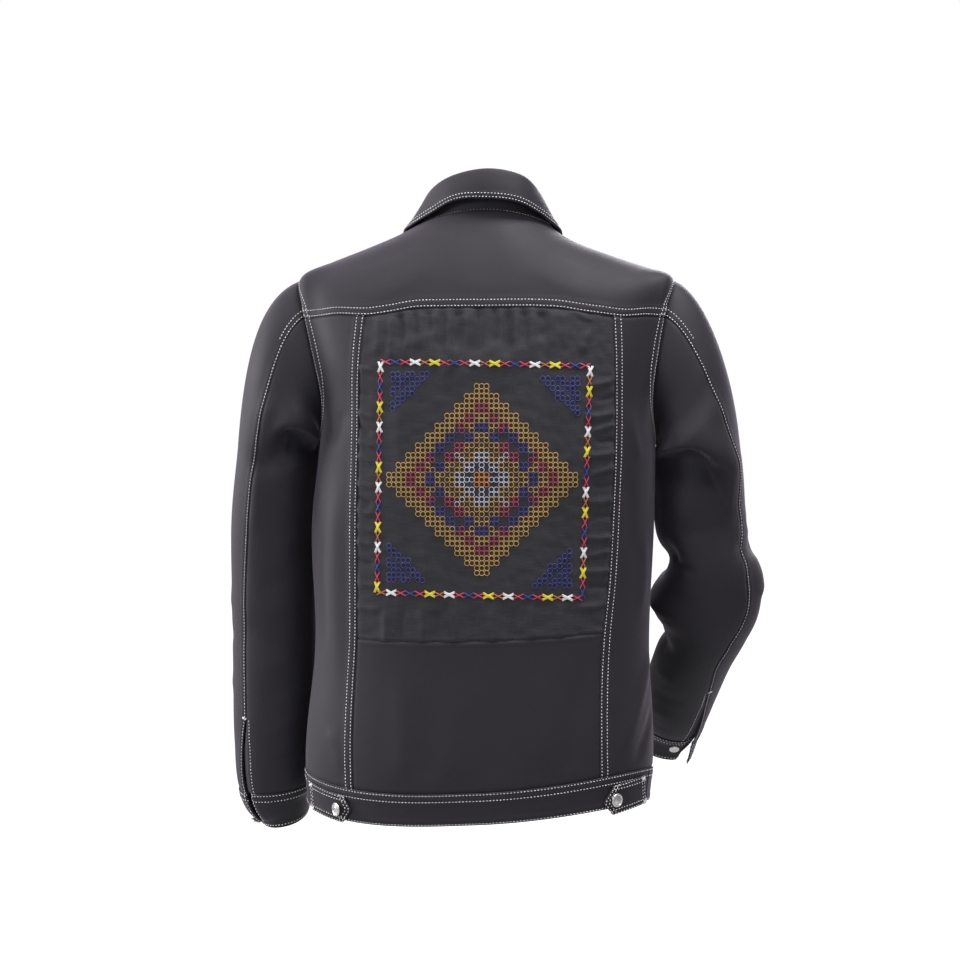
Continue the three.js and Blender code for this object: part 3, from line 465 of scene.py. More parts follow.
PANEL_CREASES = (
    # small gathers hanging from the yoke seam
    (119, -126, 118, -150, 120, -182, 6.1, 1.2), (104, -122, 103, -150, 106, -190, 5.4, 1.5),
    (95, -122, 93, -140, 95, -165, 6.1, -1.8), (87, -118, 86, -146, 88, -186, 5.7, 1.8),
    (79, -118, 78, -136, 79, -158, 5.6, -1.5), (71, -116, 72, -140, 70, -170, 5.7, 1.2),
    (62, -114, 62, -132, 61, -150, 5.6, -1.5), (54, -112, 55, -146, 58, -196, 6.8, 2.1),
    (47, -112, 48, -140, 50, -176, 6, -2.3), (40, -110, 40, -150, 44, -214, 7.3, 2.3),
    (31, -110, 30, -136, 31, -170, 6.4, -2.5), (24, -110, 23, -150, 26, -226, 8.1, 1.8),
    (15, -108, 15, -132, 14, -158, 4.9, 1.5), (7, -108, 6, -136, 8, -178, 6.6, -2.6),
    (-1, -108, -2, -150, 0, -210, 7, 2.3), (-10, -108, -10, -134, -9, -166, 6, -2.5),
    (-17, -108, -17, -150, -15, -220, 7, 2), (-26, -110, -25, -140, -27, -176, 6.4, -2.5),
    (-34, -110, -34, -146, -32, -200, 6.5, 1.8), (-43, -112, -42, -136, -43, -164, 6, -1.8),
    (-52, -112, -52, -140, -50, -186, 6.2, 1.5), (-63, -116, -62, -136, -64, -160, 6.6, -1.5),
    (-74, -118, -75, -140, -73, -176, 5.9, 1.2), (-96, -122, -106, -132, -122, -142, 4.2, 1),
    (-86, -122, -86, -142, -88, -170, 5.4, 1),
    (-118, -150, -110, -160, -108, -178, 5.4, 1.2),
    # cross creases on the strip by the right seam
    (-148, -206, -128, -210, -108, -207, 3.2, 1.2), (-148, -222, -132, -226, -116, -224, 3.0, -0.9),
    (-148, -240, -126, -243, -104, -239, 3.4, 1.3), (-148, -254, -130, -256, -112, -259, 3.0, 1.1),
    (-148, -270, -131, -271, -118, -268, 3.4, -1.0), (-148, -283, -126, -285, -106, -281, 3.2, 1.3),
    (-148, -299, -129, -302, -112, -305, 3.0, 1.1), (-147, -316, -130, -318, -116, -314, 3.4, -0.9),
    (-147, -332, -126, -334, -106, -330, 3.2, 1.0), (-146, -352, -128, -350, -114, -353, 3.6, -0.8),
    (-146, -371, -124, -374, -103, -370, 3.4, 1.2), (-145, -388, -125, -391, -108, -394, 3.2, 1.1),
    (-144, -409, -122, -412, -102, -408, 3.4, 1.2), (-143, -428, -124, -430, -108, -427, 3.6, -0.8),
    (-142, -448, -118, -452, -96, -449, 4.0, 0.9),
    # smaller ones by the left seam
    (148, -190, 134, -194, 122, -192, 3.2, 0.8), (148, -214, 136, -220, 124, -219, 3.0, -0.7),
    (150, -236, 134, -243, 121, -242, 3.2, 1.0), (150, -250, 136, -258, 124, -262, 3.0, -0.8),
    (150, -266, 134, -273, 121, -274, 3.4, 1.0), (150, -283, 134, -290, 124, -292, 3.0, 0.9),
    (150, -312, 133, -318, 120, -317, 3.2, 1.0), (150, -326, 135, -333, 124, -336, 3.0, -0.8),
    (150, -339, 134, -346, 122, -345, 3.2, 1.0), (150, -357, 134, -364, 123, -366, 3.2, 0.9),
    (150, -374, 134, -379, 122, -378, 3.4, 1.0), (150, -392, 134, -399, 122, -402, 3.2, -0.8),
    (150, -418, 132, -424, 118, -422, 3.6, 0.9), (150, -446, 132, -450, 112, -448, 3.6, 0.7),
    # gathers standing on the plain seam
    (112, -490, 111, -470, 112, -446, 5, 0.9), (92, -490, 93, -468, 90, -440, 5, -0.8),
    (70, -490, 69, -466, 71, -436, 5.5, 1.0), (52, -490, 53, -470, 51, -446, 4.5, -0.8),
    (33, -490, 33, -464, 35, -430, 5.5, 1.0), (12, -490, 11, -468, 12, -442, 5, -0.9),
    (-8, -490, -7, -466, -9, -438, 5.5, 0.9), (-30, -490, -31, -470, -29, -446, 4.5, -0.7),
    (-52, -490, -51, -468, -53, -440, 5, 0.8), (-82, -490, -83, -470, -81, -446, 5, 0.7),
    # slack across the worked ground
    (88, -206, 96, -262, 86, -330, 11, 0.9), (-84, -200, -92, -262, -82, -340, 11, 0.9),
    (60, -350, 66, -390, 58, -430, 10, 0.7), (-56, -352, -62, -396, -54, -440, 10, 0.7),
)
# The same for the fronts, which are plain.
FRONT_CREASES = (
    (150, -235, 110, -262, 66, -270, 14, 3.1), (-150, -235, -112, -266, -64, -276, 14, 3.1),
    (158, -262, 122, -296, 84, -312, 12, -2.7), (-158, -262, -124, -300, -86, -318, 12, -2.7),
    (160, -300, 138, -350, 128, -420, 15, 3.1), (-160, -300, -140, -352, -130, -430, 15, 3.1),
    (120, -640, 112, -560, 122, -470, 16, 3.4), (-122, -640, -114, -556, -124, -466, 16, 3.4),
    (88, -640, 84, -580, 90, -510, 12, -2.7), (-90, -640, -86, -576, -92, -500, 12, -2.7),
    (56, -645, 54, -600, 58, -540, 10, 2), (-56, -645, -54, -604, -58, -548, 10, 2),
    (24, -205, 44, -212, 66, -206, 8, 2), (-24, -205, -46, -214, -70, -210, 8, 2),
    (24, -320, 42, -328, 62, -326, 8, 1.7), (-24, -318, -42, -327, -64, -326, 8, 1.7),
    (24, -436, 44, -446, 62, -444, 8, -1.7), (-24, -434, -44, -443, -60, -443, 8, -1.7),
    (60, -96, 96, -118, 140, -128, 14, -2), (-60, -96, -98, -120, -140, -130, 14, -2),
    (40, -120, 60, -160, 66, -210, 14, 1.7), (-40, -120, -60, -160, -68, -210, 14, 1.7),
)
# Run and angle of start, middle and end on the sleeves, then reach and rise.
SLEEVE_CREASES = {
    LEFT: (
        (0.10, 66, 0.115, 95, 0.10, 130, 12, 1.0), (0.25, 84, 0.235, 110, 0.22, 150, 12, -1.5),
        (0.25, 68, 0.33, 74, 0.42, 70, 9, 1.4), (0.36, 150, 0.33, 128, 0.32, 104, 11, 0.8),
        (0.44, 96, 0.42, 122, 0.4, 152, 14, 0.8), (0.52, 78, 0.5, 104, 0.49, 140, 14, -0.9),
        (0.58, 80, 0.555, 110, 0.55, 146, 13, 0.8), (0.68, 74, 0.665, 100, 0.655, 130, 12, 0.9),
        (0.735, 80, 0.72, 104, 0.7, 136, 11, -0.9), (0.80, 84, 0.79, 110, 0.775, 140, 9, 0.9),
        (0.86, 90, 0.85, 116, 0.838, 144, 8, -0.8), (0.895, 88, 0.885, 114, 0.878, 142, 5, 0.7),
        (0.52, -30, 0.55, 0, 0.53, 34, 13, 1.0), (0.60, -24, 0.62, 6, 0.61, 36, 12, -1.0),
        (0.7, -40, 0.72, -5, 0.7, 30, 11, 1.0), (0.44, -110, 0.47, -80, 0.45, -40, 12, -2.2),
        (0.48, -112, 0.51, -84, 0.5, -50, 11, 2.4), (0.54, -112, 0.56, -90, 0.55, -60, 10, -1.8),
        (0.62, -104, 0.65, -76, 0.64, -40, 11, 1.5), (0.24, -130, 0.22, -96, 0.24, -60, 12, -2.2),
        (0.17, -128, 0.15, -98, 0.18, -60, 13, 2.4), (0.8, -110, 0.79, -80, 0.8, -46, 8, 1.2),
        (0.85, -112, 0.84, -82, 0.85, -50, 7, -1.1),
    ),
    RIGHT: (
        (0.14, 150, 0.15, 126, 0.175, 100, 12, 1.6), (0.36, 60, 0.40, 58, 0.45, 64, 8, 1.0),
        (0.20, 178, 0.26, 176, 0.33, 174, 17, 4.5),
        (0.11, 52, 0.13, 84, 0.12, 130, 11, 1.0), (0.355, 96, 0.365, 124, 0.36, 156, 12, 1.0),
        (0.40, 66, 0.41, 96, 0.42, 136, 12, -0.9),
        # the bend of the elbow
        (0.455, 165, 0.476, 136, 0.50, 108, 4.5, -2.6), (0.43, 160, 0.445, 134, 0.46, 110, 8, 0.8),
        (0.5, 160, 0.515, 132, 0.54, 104, 9, 0.9), (0.60, 128, 0.606, 146, 0.615, 178, 8, -1.2),
        (0.70, 166, 0.69, 144, 0.70, 118, 7, -1.6), (0.67, 112, 0.665, 138, 0.67, 165, 9, 0.8),
        (0.745, 100, 0.75, 124, 0.76, 156, 9, 0.8), (0.79, 76, 0.795, 104, 0.81, 146, 10, -0.8),
        (0.85, 84, 0.85, 112, 0.86, 148, 8, 0.8), (0.89, 80, 0.885, 110, 0.893, 146, 4.5, -0.9),
        (0.50, 34, 0.49, 8, 0.5, -30, 8, -1.8), (0.56, 30, 0.555, 4, 0.565, -30, 8, 1.6),
        (0.44, 20, 0.43, -8, 0.43, -40, 9, -1.2), (0.47, -150, 0.49, -120, 0.48, -70, 9, -2.4),
        (0.51, -150, 0.53, -120, 0.52, -74, 9, 2.6), (0.55, -150, 0.575, -116, 0.57, -70, 9, -2.2),
        (0.62, -140, 0.64, -104, 0.63, -60, 10, 1.8), (0.41, -140, 0.43, -106, 0.42, -60, 11, 2.0),
        (0.24, -130, 0.22, -96, 0.24, -60, 12, -2.0), (0.17, -128, 0.15, -98, 0.18, -60, 13, 2.2),
        (0.8, -120, 0.79, -84, 0.8, -46, 8, 1.1),
    ),
}
# Where each sleeve doubles over behind the upper arm: places by run and angle, then reach, rise and
# the depth of the hollow.
SHELVES = {
    LEFT: (
        ((0.212, 80), (0.18, 94), (0.152, 106), (0.132, 119), (0.118, 140), (0.135, 170)),
        25, 9.5, 8.5,
    ),
    RIGHT: (
        ((0.212, 172), (0.203, 122), (0.214, 99), (0.231, 85), (0.248, 74), (0.276, 62), (0.318, 55),
         (0.37, 48)),
        30, 16, 8.0,
    ),
}
SHELF_SHARES = (0, 0.25, 0.62, 1)  # of the path from end to end, as CREASE_SHARES
SHELF_STEP, SHELF_TURN = 4.8, 0.25  # reach of the sharp fall, and how soon it takes over
SHELF_POINTS = 25
HOLE_FADE, WAIST_FADE, NECK_FADE = 0.3, 16, 12  # how far from these edges the body's creases fade
CRUMPLE_WAVES, CRUMPLE_SEED = 14, 5
PANEL_SLACK, PANEL_CRUMPLE = 0.34, 17  # height of the woven panel's unevenness, and its scale
PANEL_HELD, PANEL_HELD_REACH = 0.4, 12  # share of its creases left at the yoke seam, and how far


def sleeve_relief(side, points, normals, run):
    height = np.zeros(points.shape[:-1])
    for run0, turn0, run1, turn1, reach, rise in FOLDS[side]:
        ends = [smooth_sleeve(side, run0, turn0), smooth_sleeve(side, run1, turn1)]
        height += rise * swell(path_distance(points, ends)[0], reach)
    add_creases(height, points, SLEEVE_CREASES[side], lambda at, turn: smooth_sleeve(side, at, turn))
    marks, *shape = SHELVES[side]
    keys = np.arange(len(marks))
    even = np.linspace(0, keys[-1], SHELF_POINTS)
    path = [track({"mark": keys, "at": values}, "at", even) for values in np.array(marks).T]
    height += shelf(points, normals, smooth_sleeve(side, *path), *shape)
    top = np.clip(run / FOLD_FADE_TOP, 0, 1)
    return height * np.minimum(top, np.clip((CUFF - run) / FOLD_FADE_CUFF, 0, 1))


def place_on_body(x, level, front=False):
    return torso(angle_of(x, level, front), level)


def body_relief(points, angle, level, creases, front=False):
    height = np.zeros(points.shape[:-1])
    add_creases(height, points, creases, lambda x, at: place_on_body(x, at, front))
    mid, half, hole, rise = (np.where(angle < 0, right, left)
                             for left, right in zip(ARMHOLE[LEFT], ARMHOLE[RIGHT]))
    away = np.hypot((mid - np.abs(angle)) / half, (level - hole) / rise) - 1
    fade = smooth(0, HOLE_FADE, away)
    return height * fade * smooth(WAIST, WAIST + WAIST_FADE, level) * smooth(0, -NECK_FADE, level)


def wobble(s, seed):
    """Uneven small waves along a seam, from -1 to 1."""
    return (0.45 * np.sin(0.66 * s + seed) + 0.35 * np.sin(0.41 * s + 2.1 * seed)
            + 0.2 * np.sin(1.07 * s + 3.7 * seed)) * (0.7 + 0.3 * np.sin(0.083 * s + seed))


def crumple(u, v, scale):
    """Fixed uneven surface of soft cloth: a sum of waves in many directions."""
    draw = np.random.default_rng(CRUMPLE_SEED)
    total = np.zeros_like(u)
    for _ in range(CRUMPLE_WAVES):
        turn, phase = draw.uniform(0, math.tau, 2)
        length = scale * draw.uniform(0.6, 1.7)
        total += np.sin((u * np.cos(turn) + v * np.sin(turn)) * math.tau / length + phase)
    return total / 4


# ---------------------------------------------------------------- cloth walls
class Wall:
    """A finished piece of cloth: its outer face as a grid, from which the sewing is laid out, and
    how much of each row is turned in beyond the sewn edge."""

    def __init__(self, face, outward):
        self.face = face
        self.turned_in = np.zeros(len(face))
        normals = unit(np.cross(np.gradient(face, axis=1), np.gradient(face, axis=0)))
        self.normals = normals * np.sign((normals * outward).sum())


WALLS = {}


def lengths(points, axis):
    """Distance along each row (axis 1) or column (axis 0) of a grid, from its first point."""
    steps = np.linalg.norm(np.diff(points, axis=axis), axis=-1)
    first = np.zeros_like(np.take(steps, [0], axis=axis))
    return np.concatenate([first, np.cumsum(steps, axis=axis)], axis=axis)


def rounded(distance, radius):
    """How far a rounded edge has fallen away at a distance from it."""
    inside = np.clip(radius - distance, 0, radius)
    return radius - np.sqrt(np.maximum(radius**2 - inside**2, 0))


def edge_height(distance, along, lap, free, rows, seed):
    """Rise of the cloth near an edge. lap: 1 where it lies over its neighbour, -1 under it and 0
    where the two are joined edge to edge; free: 1 where it has no neighbour; rows: of stitching."""
    over, under = np.maximum(lap, 0), np.maximum(-lap, 0)
    joined = (1 - over - under) * (1 - free)
    outer, inner = (ALLOWANCE[rows - 1] + more for more in ALLOWANCE_EDGE)
    height = LAP_RISE[rows - 1] * over * smooth(outer, inner, distance)
    for needle in NEEDLES[:rows]:
        height = height - CHANNEL * over * swell(distance, CHANNEL_WIDE, needle)
    for share, (rise, *place) in ((under, UNDER_EDGE), *((joined, shape) for shape in JOINED_EDGE)):
        height = height + rise * share * swell(distance, *place)
    puckered = over + PUCKER_UNDER * under
    return height + PUCKER * puckered * wobble(along, seed) * swell(distance, PUCKER_REACH, PUCKER_FROM)


def finish_wall(name, base, normals, height, edges, thick, slot_name="knit_cloth"):
    """Closed wall over a grid of base points, raised by height and shaped along its four edges.
    edges: (lap, free, rows of stitching) for low, high, start and end."""
    rows, columns = base.shape[:2]
    across, along = lengths(base, 1), lengths(base, 0)
    v = along[:, columns // 2] / along[-1, columns // 2]
    u = across[rows // 2] / across[rows // 2, -1]
    seed = sum(ord(letter) for letter in name)
    reach = {
        "low": (along, across, u[None, :]),
        "high": (along[-1:] - along, across, u[None, :]),
        "start": (across, along, v[:, None]),
        "end": (across[:, -1:] - across, along, v[:, None]),
    }
    height = height + np.zeros(base.shape[:2])
    fall, tuck, wear = (np.zeros(base.shape[:2]) for _ in range(3))
    radius = thick * FREE_ROUND
    for i, (key, (distance, run, t)) in enumerate(reach.items()):
        lap, free = (part(t) if callable(part) else part + 0 * t for part in edges[key][:2])
        height = height + edge_height(distance, run, lap, free, edges[key][2], seed + i)
        shown = np.maximum(free, np.maximum(lap, 0))
        outer_radius = LAPPED_ROUND + (radius - LAPPED_ROUND) * free
        fall = np.maximum(fall, rounded(distance, outer_radius) * shown)
        tuck = np.maximum(tuck, rounded(distance, radius) * free)
        wear = np.maximum(wear, swell(distance, WEAR_REACH) * shown)
    outer = base + normals * (height - fall)[..., None]
    inner = base + normals * (height - thick + tuck)[..., None]
    uv = np.stack([across - across[:, columns // 2][:, None], along], -1)
    build_shell(name, outer, inner, uv, wear, slot_name)
    WALLS[name] = Wall(outer, normals)
    return WALLS[name]


def build_shell(name, outer, inner, uv, wear, slot_name):
    """Mesh of an outer and an inner face and the rim between them."""
    rows, columns = outer.shape[:2]
    count = rows * columns
    at = np.arange(count).reshape(rows, columns)
    front = np.stack([at[:-1, :-1], at[:-1, 1:], at[1:, 1:], at[1:, :-1]], -1).reshape(-1, 4)
    back = front[:, ::-1] + count
    loop = np.concatenate([at[0, :-1], at[:-1, -1], at[-1, :0:-1], at[:0:-1, 0]])
    after = np.roll(loop, -1)
    rim = np.stack([loop, loop + count, after + count, after], -1)
    quads = np.concatenate([front, back, rim])
    row, column = rows // 2, columns // 2
    middle = outer[row, column]
    facing = np.cross(outer[row, column + 1] - middle, outer[row + 1, column] - middle)
    if facing @ (middle - inner[row, column]) < 0:
        quads = quads[:, ::-1]
    mesh = bpy.data.meshes.new(name)
    points = np.concatenate([outer.reshape(-1, 3), inner.reshape(-1, 3)])
    mesh.from_pydata((points * MM).tolist(), [], quads.tolist())
    corners = np.empty(len(mesh.loops), np.int32)
    mesh.loops.foreach_get("vertex_index", corners)
    flat = np.concatenate([uv.reshape(-1, 2), uv.reshape(-1, 2)]) * MM
    mesh.uv_layers.new(name="cloth").data.foreach_set("uv", flat[corners].ravel())
    worn = mesh.attributes.new("wear", "FLOAT", "POINT")
    worn.data.foreach_set("value", np.concatenate([wear.ravel(), wear.ravel()]).astype(np.float32))
    mesh.materials.append(CLOTHS[slot_name])
    keep_piece(name + "_cloth", mesh, name)


def keep_piece(name, mesh, node=None):
    """Adds a finished mesh to the scene, in the place of a node where one is given."""
    mesh.polygons.foreach_set("use_smooth", np.ones(len(mesh.polygons), bool))
    piece = bpy.data.objects.new(name, mesh)
    bpy.context.scene.collection.objects.link(piece)
    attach(piece, "root")
    if node:
        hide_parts(node)


def places(length, step, close=None):
    """Places from 0 to 1 along an edge of some length, close together near both ends and, where
    close gives a start, end and step, along that stretch."""
    near = np.array([p for p in EDGE_PLACES if p < length / 2 - 1])
    first, last = near[-1], length - near[-1]
    stretches = [(first, last, step)]
    if close:
        stretches = [(first, close[0], step), close, (close[1], last, step)]
    inner = []
    for a, b, pace in stretches:
        count = max(int(round((b - a) / pace)), 1)
        inner.append(np.linspace(a, b, count + 1)[:-1])
    return np.concatenate([near[:-1], *inner, (length - near)[::-1]]) / length


def line(a, b):
    return lambda t: (a[0] + (b[0] - a[0]) * t, a[1] + (b[1] - a[1]) * t)


def join(*parts):
    """One edge from several, each with its share of the edge's length."""
    ends = np.cumsum([share for share, _ in parts]) / sum(share for share, _ in parts)

    def edge(t):
        angle, level, start = 0.0, 0.0, 0.0
        for i, ((_, part), end) in enumerate(zip(parts, ends)):
            inside = (t >= start) & ((t < end) | (i == len(parts) - 1))
            a, b = part(np.clip((t - start) / (end - start), 0, 1))
            angle, level = np.where(inside, a, angle), np.where(inside, b, level)
            start = end
        return angle, level

    return edge


def patch(low, high, start, end, u, v):
    """Angle and level inside four edges that share their corners."""
    def climb(edge):
        bottom, top = edge(np.array(0.0))[1], edge(np.array(1.0))[1]
        return (edge(v)[1] - bottom) / (top - bottom)

    rise = (climb(start) + climb(end)) / 2
    zero, one = np.array(0.0), np.array(1.0)
    result = []
    for k in (0, 1):
        sides = ((1 - rise) * low(u)[k] + rise * high(u)[k]
                 + (1 - u) * start(v)[k] + u * end(v)[k])
        corners = ((1 - rise) * ((1 - u) * low(zero)[k] + u * low(one)[k])
                   + rise * ((1 - u) * high(zero)[k] + u * high(one)[k]))
        result.append(sides - corners)
    return result


def body_panel(name, edges, size, step, laps, creases, gain=CREASE_GAIN["body"], front=False, woven=False):
    """A panel of the body. edges: low, high, start, end; size: about how wide and tall it is."""
    u, v = np.meshgrid(places(size[0], step), places(size[1], step))
    angle, level = patch(*edges, u, v)
    base, normals = torso(angle, level), torso_normal(angle, level)
    height = body_relief(base, angle, level, creases, front) * gain
    if woven:
        climb = lengths(base, 0)
        held = smooth(0, PANEL_HELD_REACH, climb[-1] - climb)
        height = height * (PANEL_HELD + (1 - PANEL_HELD) * held)
        uneven = PANEL_SLACK * crumple(base[..., 0], base[..., 2], PANEL_CRUMPLE)
        height = height + uneven * smooth(0, -NECK_FADE, level)
    finish_wall(name, base, normals, height, laps, CLOTH, "woven_cloth" if woven else "knit_cloth")


# ---------------------------------------------------------------- finishes
class Nodes:
    """Short way to add and link nodes in a tree."""

    def __init__(self, tree):
        self.tree = tree

    def add(self, kind, props=None, **inputs):
        node = self.tree.nodes.new(kind)
        for key, value in (props or {}).items():
            setattr(node, key, value)
        for key, value in inputs.items():
            self.feed(node, key, value)
        return node

    def feed(self, node, key, value):
        if key.startswith("i") and key[1:].isdigit():
            socket = node.inputs[int(key[1:])]
        else:
            socket = node.inputs[key.replace("_", " ")]
        if isinstance(value, bpy.types.NodeSocket):
            self.tree.links.new(value, socket)
        else:
            socket.default_value = value

    def math(self, operation, a, b=0.0, c=0.0):
        return self.add("ShaderNodeMath", {"operation": operation}, i0=a, i1=b, i2=c).outputs[0]

    def times(self, value, *factors):
        for factor in factors:
            value = self.math("MULTIPLY", value, factor)
        return value

    def ramp(self, value, low, high, out_low=0.0, out_high=1.0):
        return self.add("ShaderNodeMapRange", {"clamp": True}, i0=value, i1=low, i2=high,
                        i3=out_low, i4=out_high).outputs[0]

    def noise(self, place, scale, detail=2.0, rough=0.5):
        return self.add("ShaderNodeTexNoise", Vector=place, Scale=scale, Detail=detail,
                        Roughness=rough).outputs[0]

    def vary(self, noise, low, high):
        """Spreads a noise, most of which lies between 0.3 and 0.7, from low to high."""
        return self.ramp(noise, 0.3, 0.7, low, high)

    def cloth_place(self):
        return self.add("ShaderNodeUVMap", {"uv_map": "cloth"}).outputs[0]

    def own_place(self):
        return self.add("ShaderNodeTexCoord").outputs["Object"]

    def own(self, name, output):
        return self.add("ShaderNodeAttribute", {"attribute_name": name}).outputs[output]

    def scaled(self, colour, *factors):
        """A colour times grey factors."""
        return self.add("ShaderNodeVectorMath", {"operation": "SCALE"}, i0=colour,
                        Scale=self.times(*factors)).outputs[0]


def new_tree(name, kind, inputs, outputs):
    """Node tree with named inputs and outputs: its Nodes, what it is given, and its end node."""
    tree = bpy.data.node_groups.new(name, kind)
    for label, socket_kind, value in inputs:
        socket = tree.interface.new_socket(name=label, in_out="INPUT", socket_type=socket_kind)
        if value is not None:
            socket.default_value = value
    for label, socket_kind in outputs:
        tree.interface.new_socket(name=label, in_out="OUTPUT", socket_type=socket_kind)
    n = Nodes(tree)
    return n, n.add("NodeGroupInput").outputs, n.add("NodeGroupOutput")


def cloth_group(name, inputs):
    """Group that gives the height of a cloth's face and its tone, with painted shade where the face is low.
    """
    return new_tree(name, "ShaderNodeTree", [("Vector", "NodeSocketVector", None), *inputs],
                    [("Height", "NodeSocketFloat"), ("Tone", "NodeSocketFloat")])


def make_knit_group():
    """Face of a fine double knit: rows of small V loops, with a little unevenness between rows."""
    n, given, result = cloth_group("knit_face", [
        ("Wale", "NodeSocketFloat", 0.0009),
        ("Course", "NodeSocketFloat", 0.0007),
    ])
    split = n.add("ShaderNodeSeparateXYZ", i0=given["Vector"])
    wale = n.math("DIVIDE", split.outputs["X"], given["Wale"])
    course = n.math("DIVIDE", split.outputs["Y"], given["Course"])
    side = n.math("PINGPONG", wale, 0.5)
    slanted = n.math("ADD", course, n.times(side, 1.1))
    loop = n.math("SINE", n.times(slanted, math.tau))
    rib = n.math("SINE", n.times(wale, math.tau))
    uneven = n.noise(given["Vector"], 900.0)
    height = n.math("ADD", n.times(loop, 0.35), n.times(rib, 0.25))
    height = n.math("ADD", height, n.times(uneven, 0.5))
    n.feed(result, "Height", height)
    # Painted shade: the colour is darker where the knit's face is low, in the hollows between its loops, and
    # paler on their tops.
    n.feed(result, "Tone", n.ramp(height, -0.3, 0.9, 0.86, 1.1))
    return n.tree


def make_weave_group():
    """Plain weave with slubs: threads over and under, some thicker and paler than others."""
    n, given, result = cloth_group("slub_weave", [("Thread", "NodeSocketFloat", 0.00055)])
    warped = n.add("ShaderNodeTexNoise", Vector=given["Vector"], Scale=140.0, Detail=1.0)
    drift = n.add("ShaderNodeVectorMath", {"operation": "MULTIPLY_ADD"}, i0=warped.outputs["Color"],
                  i1=(0.0004, 0.0004, 0.0), i2=given["Vector"]).outputs[0]
    split = n.add("ShaderNodeSeparateXYZ", i0=drift)
    x, y = (n.times(n.math("DIVIDE", split.outputs[axis], given["Thread"]), math.pi) for axis in "XY")
    warp = n.times(n.math("SINE", x), n.math("COSINE", y))
    streaks = []
    for scale in ((55.0, 1500.0, 1.0), (1500.0, 55.0, 1.0)):
        stretched = n.add("ShaderNodeVectorMath", {"operation": "MULTIPLY"}, i0=given["Vector"], i1=scale)
        streaks.append(n.ramp(n.noise(stretched.outputs[0], 1.0, 2.0, 0.6), 0.42, 0.78))
    slub = n.times(n.math("MAXIMUM", streaks[0], n.times(streaks[1], 0.7)), 0.9)
    n.feed(result, "Height", n.math("ADD", n.times(warp, 0.4), slub))
    # Painted shade: threads are darker where they dip under their neighbours; the slubs are paler.
    n.feed(result, "Tone", n.math("ADD", n.ramp(warp, -1.0, 1.0, 0.82, 1.1), slub))
    return n.tree


def new_material(name, values):
    """Material, its Nodes and its shader, whose inputs get the values."""
    material = bpy.data.materials.new(name)
    material.use_nodes = True
    shader = material.node_tree.nodes["Principled BSDF"]
    for key, value in values.items():
        shader.inputs[key].default_value = value
    return material, Nodes(material.node_tree), shader


def finish_shader(n, shader, colour, height, strength, distance, rough=None):
    """Links a colour, a bump and, where it varies, the roughness to a shader."""
    n.feed(shader, "Base Color", colour)
    if rough is not None:
        n.feed(shader, "Roughness", rough)
    bump = n.add("ShaderNodeBump", Strength=strength, Distance=distance, Height=height)
    n.feed(shader, "Normal", bump.outputs[0])


def make_knit():
    """Smooth charcoal double knit with a soft sheen, a little paler where edges rub."""
    material, n, shader = new_material("charcoal_knit", {
        "Specular IOR Level": 0.3, "Sheen Weight": 0.2, "Sheen Roughness": 0.42,
        "Sheen Tint": (0.92, 0.8, 1.0, 1.0),
    })
    face = n.add("ShaderNodeGroup", {"node_tree": make_knit_group()}, Vector=n.cloth_place())
    place = n.own_place()
    cloudy = n.noise(place, 9.0, 3.0, 0.55)
    fuzz = n.noise(place, 420.0)
    rub = n.math("MULTIPLY_ADD", n.times(n.own("wear", "Fac"), fuzz), 0.55, 1.0)
    # The knit's tone from its face group carries painted shade in the hollows of the loops.
    colour = n.scaled((0.0155, 0.0134, 0.0192), face.outputs["Tone"], n.vary(cloudy, 0.93, 1.07),
                      n.vary(fuzz, 0.94, 1.06), rub)
    height = n.math("MULTIPLY_ADD", fuzz, 0.4, face.outputs["Height"])
    finish_shader(n, shader, colour, height, 0.35, 0.00012, n.vary(cloudy, 0.58, 0.68))
    return material


def make_woven():
    """Slubbed black plain weave, duller and greener than the knit."""
    material, n, shader = new_material("slubbed_weave", {
        "Specular IOR Level": 0.22, "Sheen Weight": 0.1, "Sheen Roughness": 0.5,
    })
    weave = n.add("ShaderNodeGroup", {"node_tree": make_weave_group()}, Vector=n.cloth_place())
    cloudy = n.noise(n.own_place(), 22.0, 3.0, 0.6)
    # The weave's tone from its group carries painted shade where the threads dip under.
    colour = n.scaled((0.0225, 0.0218, 0.0262), weave.outputs["Tone"], n.vary(cloudy, 0.86, 1.14))
    finish_shader(n, shader, colour, weave.outputs["Height"], 0.6, 0.00022, n.vary(cloudy, 0.74, 0.86))
    return material


def make_thread(name, colour=None):
    """Twisted thread. Its colour is given, or is each stitch's own."""
    material, n, shader = new_material(name, {
        "Roughness": 0.5, "Specular IOR Level": 0.5, "Sheen Weight": 0.3, "Sheen Roughness": 0.4,
    })
    ply = n.noise(n.own_place(), 1600.0, 2.0, 0.6)
    shade = n.vary(ply, 0.7, 1.1)
    if colour is None:
        mixed = n.scaled(n.own("shade", "Color"), shade)
    else:
        mixed = n.scaled(colour, shade, n.own("tint", "Fac"))
    finish_shader(n, shader, mixed, ply, 0.5, 0.0002)
    return material


def make_metal():
    """Satin grey button metal with fine wear."""
    material, n, shader = new_material("button_metal", {"Metallic": 1.0})
    place = n.own_place()
    grain = n.noise(place, 900.0, 3.0)
    colour = n.scaled((0.8, 0.78, 0.77), n.vary(n.noise(place, 240.0), 0.82, 1.08))
    finish_shader(n, shader, colour, grain, 0.2, 0.00005, n.vary(grain, 0.22, 0.42))
    return material


CLOTHS = {"knit_cloth": make_knit(), "woven_cloth": make_woven()}
TOPSTITCH = make_thread("topstitch_thread", (0.95, 0.94, 0.93))
EMBROIDERY = make_thread("embroidery_thread")
METAL = make_metal()

